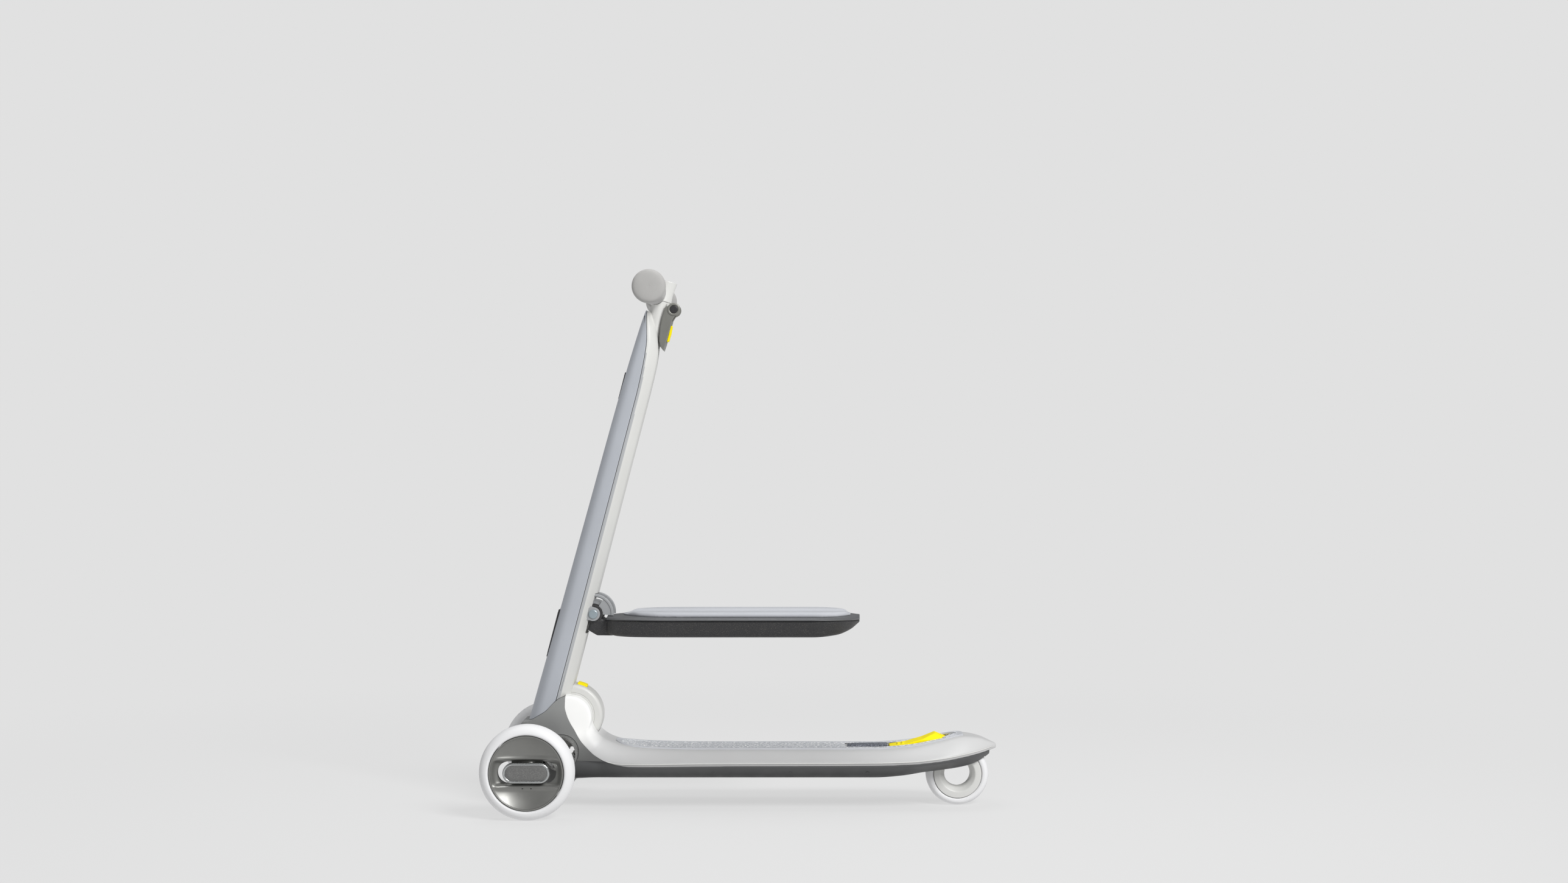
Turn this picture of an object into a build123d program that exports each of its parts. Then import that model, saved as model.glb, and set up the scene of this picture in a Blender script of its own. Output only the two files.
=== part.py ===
from build123d import *
import os
from math import cos, radians, sin

# Three-wheel kick scooter with a folding stem and a fold-down seat.
# Millimetres. +Z up, the scooter travels towards -X, and the rider's right is +Y.
# The origin is on the ground, under the middle of the whole object.

# ---- overall ----
HALF_LENGTH = 331.1
GAP = 0.3                      # clearance between faces that move past each other
RUN = 0.05                     # radial running clearance of a shaft

# ---- front wheels ----
WHEEL_X = -271.1
WHEEL_R = 60.0
TRACK_HALF = 127.0             # middle of a front tyre
TYRE_HALF = 16.0
HUB_R = 47.3
SLOT_HALF = 37.0               # half length of the hub's through slot
SLOT_HALF_HEIGHT = 13.8
BADGE_HALF = 29.7
BADGE_HALF_HEIGHT = 12.8
AXLE_R = 6.0

# ---- lean-to-steer truck ----
TRUCK_X = -272.5
TRUCK_Z = 58.0
KINGPIN_LEAN = 45.0            # degrees that the kingpin's top leans forward
KINGPIN_R = 5.0
KINGPIN_HALF = 26.0
SLEEVE_R = 11.0
SLEEVE_HALF = 13.0
BUSHING_HEIGHT = 4.8
BUSHING_R = 10.0
BEAM_R = 7.5
BEAM_SWEEP_R = 15.0            # room that the beam needs where it leaves the housing
COLLAR_X = -235.8
COLLAR_Z = 74.4
COLLAR_R = 22.0
COLLAR_BORE = 19.5
COLLAR_OUT = 68.0

# ---- rear wheel, without a hub ----
REAR_X = 279.6
REAR_R = 41.0
REAR_TYRE_HALF = 15.0
REAR_TYRE_BORE = 31.5
RING_BORE = 17.0
RING_FLANGE = 27.5
WELL_R = 42.6
WELL_HALF = 16.2

# ---- fold joint ----
FOLD_X = -226.0
FOLD_Z = 118.0
BARREL_R = 40.7
BARREL_HALF = 20.0
CHEEK_R = 27.7
CHEEK_HALF = 45.0
FOLD_PIN_R = 8.0
RELEASE_ANGLE = 71.0           # where the release button sits on the barrel

# ---- stem: its own frame has +Z up the tube, +X to the rear ----
RAKE = 14.6
STEM = Plane(
    origin=(-111.1, 0, 650.4),
    x_dir=(cos(radians(RAKE)), 0, -sin(radians(RAKE))),
    z_dir=(sin(radians(RAKE)), 0, cos(radians(RAKE))),
)
TUBE_R = 12.45
SLIDER_R = 10.0
TUBE_BOTTOM = -530.0
TUBE_TOP = 10.3
SLIDER_BOTTOM = -190.0
SHELL_WALL = 3.0

# ---- handlebar, in the stem's frame ----
BAR_BACK = -11.06
BAR_UP = 17.5
BAR_R = 11.0
BAR_HALF = 151.0
BAR_SLEEVE_R = 13.8
GRIP_R = 21.35
CAP_LENGTH = 11.0
COLLAR_TOP = 38.0

# ---- quick-release lever, in the stem's frame ----
LEVER_BACK = 18.3
LEVER_UP = 3.84
LEVER_BOSS_R = 8.6
LEVER_PIN_R = 4.0
FORK_IN = 12.9
FORK_OUT = 16.4

# ---- seat ----
SEAT_HINGE_X = -197.0
SEAT_HINGE_Z = 251.0
SEAT_PIN_R = 5.0
KNUCKLE_R = 12.5
KNUCKLE_HALF = 21.6
EAR_IN = 22.0
EAR_OUT = 26.0
EAR_R = 9.0

# ---- brake pedal ----
PEDAL_HINGE_X = 194.0
PEDAL_HINGE_Z = 74.5
PEDAL_HALF = 16.5
SHOE_GAP = 4.4

# Deck stations: x, half width at the rim, rim height, half width of the flat top, top height
DECK = [
    (-186.0, 52.0, 67.0, 30.0, 92.8),
    (-172.0, 58.0, 62.0, 34.0, 85.4),
    (-156.0, 62.0, 60.5, 37.0, 81.0),
    (-130.0, 64.5, 60.5, 38.5, 78.0),
    (-60.0, 65.0, 61.5, 39.0, 76.0),
    (170.0, 65.0, 62.5, 39.0, 76.0),
    (215.0, 62.5, 63.5, 38.5, 79.0),
    (253.0, 57.0, 66.5, 36.0, 86.0),
    (286.0, 45.0, 71.0, 29.0, 91.8),
    (308.0, 31.0, 74.5, 19.0, 89.0),
    (322.0, 17.0, 77.0, 10.0, 83.5),
    (HALF_LENGTH, 4.0, 78.0, 2.5, 79.6),
]
LIP = 4.5

# Mat stations: x, half width
MAT = [
    (-168.0, 12.0),
    (-156.0, 27.0),
    (-130.0, 33.5),
    (-60.0, 34.4),
    (170.0, 34.4),
    (215.0, 34.2),
    (253.0, 31.0),
    (286.0, 17.0),
]
MAT_THICK = 1.6

# Screws that join the two halves of the deck
SCREW_XS = (-140.0, -40.0, 60.0, 160.0)
SCREW_Y = 54.5
SCREW_R = 2.0
SCREW_HEAD_R = 3.4
SOCKET_X = 150.0
SOCKET_R = 6.0

# Belly stations: x, half width of the flat bottom, bottom height
BELLY = [
    (-219.0, 42.0, 38.5),
    (-190.0, 45.0, 40.0),
    (170.0, 45.0, 40.0),
    (205.0, 42.0, 42.0),
    (235.0, 33.0, 45.5),
    (262.0, 23.0, 47.5),
    (290.0, 21.0, 52.0),
    (310.0, 15.0, 59.0),
    (322.0, 8.0, 67.0),
]
BELLY_WALL = 2.6
BAY_FRONT = -196.0
BAY_REAR = 228.0

# Seat stations: x, half width at the rim, rim height, half width below, bottom height, half width of the pad
SEAT = [
    (-179.0, 30.0, 245.0, 24.0, 225.0, 4.0),
    (-165.0, 46.0, 245.5, 36.0, 222.6, 14.0),
    (-140.0, 58.0, 246.0, 46.0, 222.0, 40.0),
    (-100.0, 65.0, 246.0, 50.0, 222.0, 53.8),
    (90.0, 65.0, 246.0, 50.0, 222.0, 53.8),
    (120.0, 56.0, 245.5, 42.0, 224.5, 46.0),
    (139.0, 38.0, 245.0, 28.0, 231.0, 26.0),
    (151.5, 9.0, 244.0, 6.0, 239.5, 4.0),
]
SEAT_DECK_Z = 249.0            # top of the pan, under the pad
PAD_TOP = 255.4
PAD_DISH = 3.8                 # the pad's middle lies this far below its sides
PAD_DISH_HALF = 25.0

# Stem stations in its frame: height, front, groove, rear, half width
STEM_BODY = [
    (-575.0, -30.0, 0.0, 15.5, 43.5),
    (-522.0, -29.0, 0.0, 15.5, 42.0),
    (-440.0, -27.5, 0.0, 15.5, 38.0),
    (-300.0, -25.5, 0.0, 15.5, 34.0),
    (-120.0, -22.9, 0.0, 15.5, 30.0),
    (-80.0, -21.8, -1.6, 14.9, 28.0),
    (-50.0, -20.6, -4.5, 12.0, 25.0),
    (-30.0, -19.6, -9.2, 5.2, 22.0),
    (-18.0, -18.7, -13.9, -0.6, 19.0),
    (-11.0, -18.0, -16.4, -8.0, 16.0),
]
STEM_CAVITY_TOP = -62.0

# Seam between the stem above and the housing below, from the front to the rear
SEAM = [
    (-300.0, 110.0),
    (-279.5, 113.5),
    (-267.0, 120.5),
    (-257.0, 127.0),
    (-247.0, 135.2),
    (-238.4, 141.5),
    (-231.5, 143.6),
]

# Edge where the light deck shell wraps the darker front housing, from the top down
WRAP = [
    (-231.5, 143.6),
    (-232.0, 132.7),
    (-229.9, 123.1),
    (-225.9, 113.4),
    (-219.4, 102.2),
    (-211.4, 88.5),
    (-203.4, 79.6),
    (-193.7, 70.8),
    (-180.8, 63.6),
]

parts = {}


# ---------------------------------------------------------------- helpers
def side_plate(points, y_low, y_high):
    """A closed side outline of (x, z) points, pushed across from y_low to y_high."""
    face = Face(Wire.make_polygon([(x, y_low, z) for x, z in points], close=True))
    return extrude(face, amount=y_high - y_low, dir=(0, 1, 0))


def cross_cylinder(radius, x, z, y_low, y_high):
    """A cylinder lying across the scooter."""
    return Pos(x, (y_low + y_high) / 2, z) * Rot(90, 0, 0) * Cylinder(radius, y_high - y_low)


def wide_side_plate(points):
    """A side outline pushed right across the scooter, to cut with."""
    return side_plate(points, -90, 90)


def block(x_low, x_high, y_low, y_high, z_low, z_high):
    """A box from its lowest corner to its highest corner."""
    middle = ((x_low + x_high) / 2, (y_low + y_high) / 2, (z_low + z_high) / 2)
    return Pos(*middle) * Box(x_high - x_low, y_high - y_low, z_high - z_low)


def both_sides(part):
    """The part and its mirror image across the middle plane."""
    return part + mirror(part, Plane.XZ)


def loft_along_x(sections):
    """A solid through closed sections, each (x, [(y, z), ...])."""
    wires = [Wire.make_polygon([(x, y, z) for y, z in outline], close=True) for x, outline in sections]
    return Part() + Solid.make_loft(wires, ruled=True)


def loft_along_z(sections):
    """A solid through closed sections, each (z, [(x, y), ...])."""
    wires = [Wire.make_polygon([(x, y, z) for x, y in outline], close=True) for z, outline in sections]
    return Part() + Solid.make_loft(wires, ruled=True)


def mirrored(half):
    """A closed outline from its right half, given as (y, z) from the top down."""
    return half + [(-y, z) for y, z in reversed(half)]


def between(table, x, column):
    """The value in a column of a station table at x, on the straight line between stations."""
    for low, high in zip(table, table[1:]):
        if low[0] <= x <= high[0]:
            share = (x - low[0]) / (high[0] - low[0])
            return low[column] + share * (high[column] - low[column])
    raise ValueError(f"{x} is outside the table")


def stadium(half_length, half_height, thickness, x, y, z):
    """A plate with round ends, standing across the scooter's side, centred at x, y, z."""
    face = SlotOverall(2 * half_length, 2 * half_height)
    plate = extrude(face, amount=thickness / 2, both=True)
    return Pos(x, y, z) * Rot(90, 0, 0) * plate


def largest(part):
    """Only the biggest solid, where a cut leaves crumbs."""
    return Part() + max(part.solids(), key=lambda solid: solid.volume)


# ---------------------------------------------------------------- front wheels
def ring_of_profile(profile, x, y, z, side):
    """A solid of revolution about the cross axis through x, z. The profile is (radius, outward offset)."""
    face = Face(Wire.make_polygon([(r, 0, side * w) for r, w in profile], close=True))
    solid = revolve(face, Axis.Z, 360)
    return Pos(x, y, z) * Rot(-90, 0, 0) * solid


def front_wheel(name, side):
    """Tyre, hub, badge and badge panel of one front wheel. side is -1 for the left wheel."""
    y = side * TRACK_HALF
    tread = [
        (HUB_R, -TYRE_HALF + 2), (52, -TYRE_HALF), (57, -TYRE_HALF + 2.5), (59.4, -9), (WHEEL_R, -3),
        (WHEEL_R, 3), (59.4, 9), (57, TYRE_HALF - 2.5), (52, TYRE_HALF), (HUB_R, TYRE_HALF - 2),
    ]
    parts[f"front_tyre_{name}"] = ring_of_profile(tread, WHEEL_X, y, WHEEL_R, side)

    dish = [
        (11.03, -13), (15.5, -13), (17, -4), (40, -4), (44, -12), (HUB_R - 0.02, -13.5),
        (HUB_R - 0.02, 13.5), (45.2, 13.5), (43.5, 9), (34, 3.5), (20, 5), (15.5, 8), (11.03, 8),
    ]
    hub = ring_of_profile(dish, WHEEL_X, y, WHEEL_R, side)
    slot = stadium(SLOT_HALF, SLOT_HALF_HEIGHT, 40, WHEEL_X, y, WHEEL_R)
    core = block(WHEEL_X - 19, WHEEL_X + 19, y - 20, y + 20, WHEEL_R - 30, WHEEL_R + 30)
    hub -= slot - core
    parts[f"front_hub_{name}"] = hub

    badge_y = y + side * 10.4
    badge = stadium(BADGE_HALF, BADGE_HALF_HEIGHT, 4.4, WHEEL_X, badge_y, WHEEL_R)
    panel_pocket = stadium(26.0, 9.5, 2.0, WHEEL_X, badge_y + side * 2.0, WHEEL_R)
    parts[f"wheel_badge_{name}"] = badge - panel_pocket
    panel = stadium(25.9, 9.4, 0.9, WHEEL_X, badge_y + side * 1.5, WHEEL_R)
    parts[f"wheel_badge_panel_{name}"] = panel


# ---------------------------------------------------------------- truck
def along_kingpin(solid):
    """Move a solid built on +Z at the origin onto the leaning kingpin axis."""
    return Pos(TRUCK_X, 0, TRUCK_Z) * Rot(0, -KINGPIN_LEAN, 0) * solid


def truck():
    """Cross beam with its pivot sleeve, and a stub axle for each front wheel."""
    sleeve = along_kingpin(Cylinder(SLEEVE_R, 2 * SLEEVE_HALF))
    beam = cross_cylinder(BEAM_R, TRUCK_X, TRUCK_Z, -88, 88)
    knuckle = cross_cylinder(12.5, (WHEEL_X + TRUCK_X) / 2, (WHEEL_R + TRUCK_Z) / 2, 78, 96)
    length = TRACK_HALF + 7.8
    stub = cross_cylinder(AXLE_R, WHEEL_X, WHEEL_R, 90, length)
    shoulder = cross_cylinder(8.5, WHEEL_X, WHEEL_R, 95, TRACK_HALF - 13.2)
    bore = along_kingpin(Cylinder(KINGPIN_R + RUN, 4 * SLEEVE_HALF))
    parts["steering_truck"] = sleeve + beam + both_sides(knuckle + stub + shoulder) - bore

    nut = cross_cylinder(8.0, WHEEL_X, WHEEL_R, TRACK_HALF + 5.2, TRACK_HALF + 7.8)
    nut -= cross_cylinder(AXLE_R + 0.02, WHEEL_X, WHEEL_R, 90, length + 5)
    parts["axle_nuts"] = both_sides(nut)

    race = [(AXLE_R + 0.02, -3), (11.0, -3), (11.0, 3), (AXLE_R + 0.02, 3)]
    bearings = ring_of_profile(race, WHEEL_X, TRACK_HALF - 9.5, WHEEL_R, 1)
    bearings += ring_of_profile(race, WHEEL_X, TRACK_HALF + 2, WHEEL_R, 1)
    parts["front_wheel_bearings"] = both_sides(bearings)

    parts["kingpin"] = along_kingpin(Cylinder(KINGPIN_R, 2 * KINGPIN_HALF))
    bushings = Part()
    for way in (-1, 1):
        ring = Cylinder(BUSHING_R, BUSHING_HEIGHT) - Cylinder(KINGPIN_R + 0.02, BUSHING_HEIGHT)
        bushings += along_kingpin(Pos(0, 0, way * (SLEEVE_HALF + GAP + BUSHING_HEIGHT / 2)) * ring)
    parts["steering_bushings"] = bushings

    collar = cross_cylinder(COLLAR_R, COLLAR_X, COLLAR_Z, 30, COLLAR_OUT)
    collar -= cross_cylinder(COLLAR_BORE, COLLAR_X, COLLAR_Z, 20, COLLAR_OUT + 1)
    ribs = Part()
    for turn in range(12):
        rib = block(COLLAR_BORE - 5, COLLAR_BORE + 0.5, 40, 44, -1.0, 1.0)
        ribs += Pos(COLLAR_X, 0, COLLAR_Z) * Rot(0, 30 * turn, 0) * rib
    parts["side_collars"] = both_sides(collar + ribs)


# ---------------------------------------------------------------- deck
def deck_top(x):
    """Height of the deck's flat top."""
    return between(DECK, x, 4)


def rim(x, column):
    """One column of the deck stations, between the stations."""
    return between(DECK, x, column)


def belly_rim(x):
    """Half width and height of the lower shell's top edge, just under the deck's lip."""
    at = max(x, DECK[0][0])
    return rim(at, 1) - 2.0, rim(at, 2) - LIP


def neck():
    """Front of the deck shell: it climbs from the rim to the two cheeks of the fold joint."""
    top = [(-186, 92.8), (-195, 101), (-200, 108), (-199, 118), (-206, 137), (-226, 145.6)]
    outline = WRAP + [(-172, 60), (-172, 84.5)] + top
    body = side_plate(outline, -CHEEK_HALF, CHEEK_HALF)
    cheeks = both_sides(cross_cylinder(CHEEK_R, FOLD_X, FOLD_Z, BARREL_HALF + 0.4, CHEEK_HALF))
    cheeks -= wide_side_plate(WRAP + [(-300, 63.6), (-300, 150)])
    return body + cheeks


def barrel_room(extra):
    """Space that the stem's barrel turns in."""
    return cross_cylinder(BARREL_R + extra, FOLD_X, FOLD_Z, -BARREL_HALF - 0.4, BARREL_HALF + 0.4)


def wheel_well():
    """Slot in the tail that the rear wheel turns in."""
    return cross_cylinder(WELL_R, REAR_X, REAR_R, -WELL_HALF, WELL_HALF)


def deck():
    """Upper shell, lower shell, mat, lids and what the deck holds."""
    outer = []
    inner = []
    for x, half, rim_z, top_half, top_z in DECK:
        outer.append((x, mirrored([(top_half, top_z), (half, rim_z), (half - 1.5, rim_z - LIP)])))
    for x in (-168, -130, -60, 170, 215, 232):
        half, rim_z, top_half, top_z = (rim(x, column) for column in (1, 2, 3, 4))
        room = [(top_half - 3, top_z - 4), (half - 9, rim_z + 1), (half - 9, rim_z - LIP - 1)]
        inner.append((x, mirrored(room)))
    front_cut = block(-260, -186.2, -80, 80, 30, 200)
    upper = (loft_along_x(outer) - front_cut) + neck()
    upper -= loft_along_x(inner)
    upper -= barrel_room(0.6)
    upper -= cross_cylinder(FOLD_PIN_R + 0.02, FOLD_X, FOLD_Z, -60, 60)
    upper -= wheel_well()
    pocket = block(PEDAL_HINGE_X - 5, 268.5, -PEDAL_HALF - 0.6, PEDAL_HALF + 0.6, 69.5, 110)
    upper -= pocket
    upper -= block(248, 268.5, -13, 13, 55, 80)

    breaks = {station[0] for station in DECK + BELLY if BELLY[0][0] < station[0] <= BELLY[-1][0]}
    shell = [(BELLY[0][0], mirrored([(CHEEK_HALF, 62.5), (BELLY[0][1], BELLY[0][2])]))]
    for x in sorted(breaks):
        wide, top = belly_rim(x)
        shell.append((x, mirrored([(wide, top), (between(BELLY, x, 1), between(BELLY, x, 2))])))
    tray = []
    for x in sorted({BAY_FRONT, BAY_REAR} | {x for x in breaks if BAY_FRONT < x < BAY_REAR}):
        wide, top = belly_rim(x)
        floor = between(BELLY, x, 2) + BELLY_WALL
        bay = [(wide - 3.5, top + 6), (wide - 3.5, top), (between(BELLY, x, 1) - 2, floor)]
        tray.append((x, mirrored(bay)))
    lower = loft_along_x(shell)
    lower -= loft_along_x(tray)
    lower -= wheel_well()
    lower -= upper
    lower -= side_plate(WRAP + [(-180, 40), (-180, 150)], -80, 80) - block(-300, -100, -80, 80, 0, 62.4)
    lower -= cross_cylinder(COLLAR_R + 0.1, COLLAR_X, COLLAR_Z, -70, 70)
    lower -= barrel_room(0.6)

    screws = Part()
    for x in SCREW_XS:
        screws += Pos(x, SCREW_Y, 56) * Cylinder(SCREW_R, 12)
        screws += Pos(x, SCREW_Y, 51.5) * Cylinder(SCREW_HEAD_R, 2.6)
    screws = both_sides(screws)
    heads = Part()
    for x in SCREW_XS:
        heads += Pos(x, SCREW_Y, 46.2) * Cylinder(SCREW_HEAD_R, 8)
    lower -= screws + both_sides(heads)
    upper -= screws
    parts["screws"] = screws

    socket = Pos(SOCKET_X, 0, 46.5) * Cylinder(SOCKET_R, 11)
    lower -= Pos(SOCKET_X, 0, 40) * Cylinder(SOCKET_R + 0.02, 12)
    socket -= Pos(SOCKET_X, 0, 45) * Cylinder(2.8, 8)
    parts["charge_socket"] = socket

    parts["deck_upper_shell"] = largest(upper)
    parts["deck_lower_shell"] = largest(lower)

    mat = []
    for x, half in MAT:
        mat.append((x, mirrored([(half, deck_top(x) + MAT_THICK), (half, deck_top(x))])))
    mat = loft_along_x(mat)
    mat -= block(PEDAL_HINGE_X - 62, 272, -PEDAL_HALF - 0.8, PEDAL_HALF + 0.8, 70, 110)
    parts["deck_mat"] = mat
    front, rear = PEDAL_HINGE_X - 60, PEDAL_HINGE_X - 6
    tongue = [(front, 76), (front + 8, 78.6), (rear, 79.4), (rear, 76)]
    tongue = side_plate(tongue, -PEDAL_HALF + 4, PEDAL_HALF - 4)
    tongue -= loft_along_x(outer)
    parts["pedal_tongue"] = largest(tongue)

    cells = Part()
    for column in range(6):
        for row in (-1, 1):
            cells += cross_cylinder(6.5, -105 + 15 * column, 50.6, row * 17 - 15.5, row * 17 + 15.5)
    parts["battery_cells"] = cells
    case = block(-117, -17, -36, 36, 43.2, 58.4) - block(-115.5, -18.5, -34.5, 34.5, 44.0, 57.4)
    parts["battery_case"] = case
    board = block(10, 80, -28, 28, 46.0, 47.6)
    for x, y, height in ((20, -15, 5), (40, 10, 7), (62, -8, 4), (70, 18, 6)):
        board += block(x - 5, x + 5, y - 6, y + 6, 47.6, 47.6 + height)
    parts["controller_board"] = board


def front_housing():
    """Nose under the stem, which holds the truck's kingpin and the two side collars."""
    front = [
        (-220, 37.5), (-240, 33), (-262, 30.5), (-284, 38),
        (-298, 56), (-302, 78), (-294, 96), (-284, 106),
    ]
    seam = [(x, z - 0.4) for x, z in SEAM[1:]]
    outline = front + seam + WRAP[1:7] + [(-209, 62.7), (-220, 62.7)]
    body = side_plate(outline, -CHEEK_HALF, CHEEK_HALF)
    nose = [(-306, 10), (-300, 22), (-286, 34), (-264, 42), (-245, CHEEK_HALF), (-190, CHEEK_HALF)]
    plan = [(x, y) for x, y in nose] + [(x, -y) for x, y in reversed(nose)]
    body &= loft_along_z([(20, plan), (170, plan)])
    body -= barrel_room(0.6)
    body -= cross_cylinder(FOLD_PIN_R + 0.02, FOLD_X, FOLD_Z, -60, 60)
    body -= cross_cylinder(COLLAR_BORE, COLLAR_X, COLLAR_Z, -60, 60)
    body -= both_sides(cross_cylinder(COLLAR_R + 0.02, COLLAR_X, COLLAR_Z, 30, 60))
    body -= cross_cylinder(BEAM_SWEEP_R, TRUCK_X, TRUCK_Z, -60, 60)
    room = SLEEVE_HALF + GAP + BUSHING_HEIGHT + 0.02
    body -= along_kingpin(Cylinder(SLEEVE_R + 0.8, 2 * room))
    body -= along_kingpin(Cylinder(KINGPIN_R + 0.02, 2 * KINGPIN_HALF + 0.04))
    body -= parts["deck_lower_shell"]
    body -= parts["deck_upper_shell"]
    parts["front_housing"] = largest(body)


# ---------------------------------------------------------------- rear wheel
def rear_wheel():
    """Tyre, rim and magnets turn round a fixed ring that is held between the tail's skirts."""
    def ring(profile):
        return ring_of_profile(profile, REAR_X, 0, REAR_R, 1)

    half = REAR_TYRE_HALF
    parts["rear_tyre"] = ring([
        (REAR_TYRE_BORE, -half + 1), (36, -half), (39.5, -half + 3), (REAR_R, -6),
        (REAR_R, 6), (39.5, half - 3), (36, half), (REAR_TYRE_BORE, half - 1),
    ])
    parts["rear_rim"] = ring([
        (27.8, -13.2), (REAR_TYRE_BORE - 0.02, -13.2), (REAR_TYRE_BORE - 0.02, 13.2), (27.8, 13.2),
    ])
    magnets = Part()
    for turn in range(12):
        bar = block(26.2, 27.75, -6, 6, -5.4, 5.4) & cross_cylinder(27.75, 0, 0, -6, 6)
        magnets += Pos(REAR_X, 0, REAR_R) * Rot(0, 30 * turn, 0) * bar
    parts["rotor_magnets"] = magnets
    carrier = ring([
        (RING_BORE, -7), (RING_FLANGE - 5, -15.9), (RING_FLANGE, -15.9), (RING_FLANGE, -13.6),
        (21.0, -13.6), (21.0, 13.4), (RING_BORE, 7),
    ])
    parts["wheel_carrier"] = carrier
    parts["retaining_ring"] = ring([
        (21.1, 13.6), (RING_FLANGE, 13.6), (RING_FLANGE, 15.9), (RING_FLANGE - 5, 15.9),
    ])
    bearing = ring([(21.02, 8.2), (27.75, 8.2), (27.75, 12.8), (21.02, 12.8)])
    parts["rear_bearings"] = both_sides(bearing)
    stator = ring([(21.02, -5.5), (22.8, -5.5), (22.8, 5.5), (21.02, 5.5)])
    coils = Part()
    for turn in range(12):
        place = Pos(REAR_X, 0, REAR_R) * Rot(0, 30 * turn + 15, 0)
        tooth = block(22.4, 25.6, -5.5, 5.5, -1.6, 1.6)
        stator += place * tooth
        winding = block(23.0, 25.0, -7.0, 7.0, -3.0, 3.0) - block(22.0, 26.0, -5.52, 5.52, -1.62, 1.62)
        coils += place * winding
    parts["stator_core"] = stator
    parts["stator_coils"] = coils
    bolts = Part()
    for x in (-7, 7):
        bolts += cross_cylinder(1.6, REAR_X + x, REAR_R + 22.5, 14.6, 20.0)
        bolts += cross_cylinder(2.8, REAR_X + x, REAR_R + 22.5, 20.0, 22.0)
    bolts = both_sides(bolts)
    parts["screws"] = parts["screws"] + bolts
    for name in ("deck_lower_shell", "deck_upper_shell", "wheel_carrier", "retaining_ring"):
        parts[name] -= bolts
    recess = Part()
    for x in (-7, 7):
        recess += cross_cylinder(3.0, REAR_X + x, REAR_R + 22.5, 20.0, 60.0)
    parts["deck_lower_shell"] = largest(parts["deck_lower_shell"] - both_sides(recess))


# ---------------------------------------------------------------- brake pedal
def brake_pedal():
    """Rear foot brake: a wedge hinged at its front, with a shoe over the tyre."""
    wedge = side_plate(
        [
            (PEDAL_HINGE_X - 3.3, 77.2), (PEDAL_HINGE_X + 18, 80.5), (PEDAL_HINGE_X + 40, 87), (250.4, 94.4),
            (266.2, 87.2), (266.2, 84.2), (252, 83.6), (PEDAL_HINGE_X + 30, 76.5), (PEDAL_HINGE_X + 8, 72.0),
            (PEDAL_HINGE_X - 3.3, 72.0),
        ],
        -PEDAL_HALF, PEDAL_HALF,
    )
    crown = [(-PEDAL_HALF, 70), (-PEDAL_HALF, 86), (-9.5, 96), (9.5, 96), (PEDAL_HALF, 86), (PEDAL_HALF, 70)]
    wedge &= loft_along_x([(180, crown), (280, crown)])
    bumps = Part()
    for x in (PEDAL_HINGE_X + 8, PEDAL_HINGE_X + 14):
        bumps += cross_cylinder(1.4, x, between([(191, 77.2), (212, 80.5)], x, 1), -9, 9)
    wedge += bumps
    wedge -= cross_cylinder(2.0 + RUN, PEDAL_HINGE_X, PEDAL_HINGE_Z, -30, 30)
    shoe = block(252, 265.5, -9, 9, 76, 83.5)
    shoe -= cross_cylinder(REAR_R + SHOE_GAP, REAR_X, REAR_R, -20, 20)
    shoe -= wedge
    parts["brake_pedal"] = wedge
    parts["brake_shoe"] = largest(shoe)
    pin = cross_cylinder(2.0, PEDAL_HINGE_X, PEDAL_HINGE_Z, -22, 22)
    parts["pedal_pin"] = pin
    for name in ("deck_upper_shell", "deck_mat"):
        parts[name] = largest(parts[name] - pin)


# ---------------------------------------------------------------- stem
def in_stem(solid):
    """Move a solid from the stem's own frame into place."""
    return STEM.location * solid


def front_outline(front, groove, width):
    """Section of the stem's front shell at one height."""
    shoulder = front + 0.35 * (groove - front)
    return mirrored_xy([(front, 0.42 * width), (shoulder, 0.86 * width), (groove, width)])


def rear_outline(groove, rear, width):
    """Section of the stem's rear shell at one height."""
    depth = rear - groove
    return mirrored_xy([(groove, width), (groove + 0.28 * depth, 0.93 * width), (rear, 0.52 * width)])


def mirrored_xy(half):
    """A closed outline from its +Y half, given as (x, y) from the front to the rear."""
    return half + [(x, -y) for x, y in reversed(half)]


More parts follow.
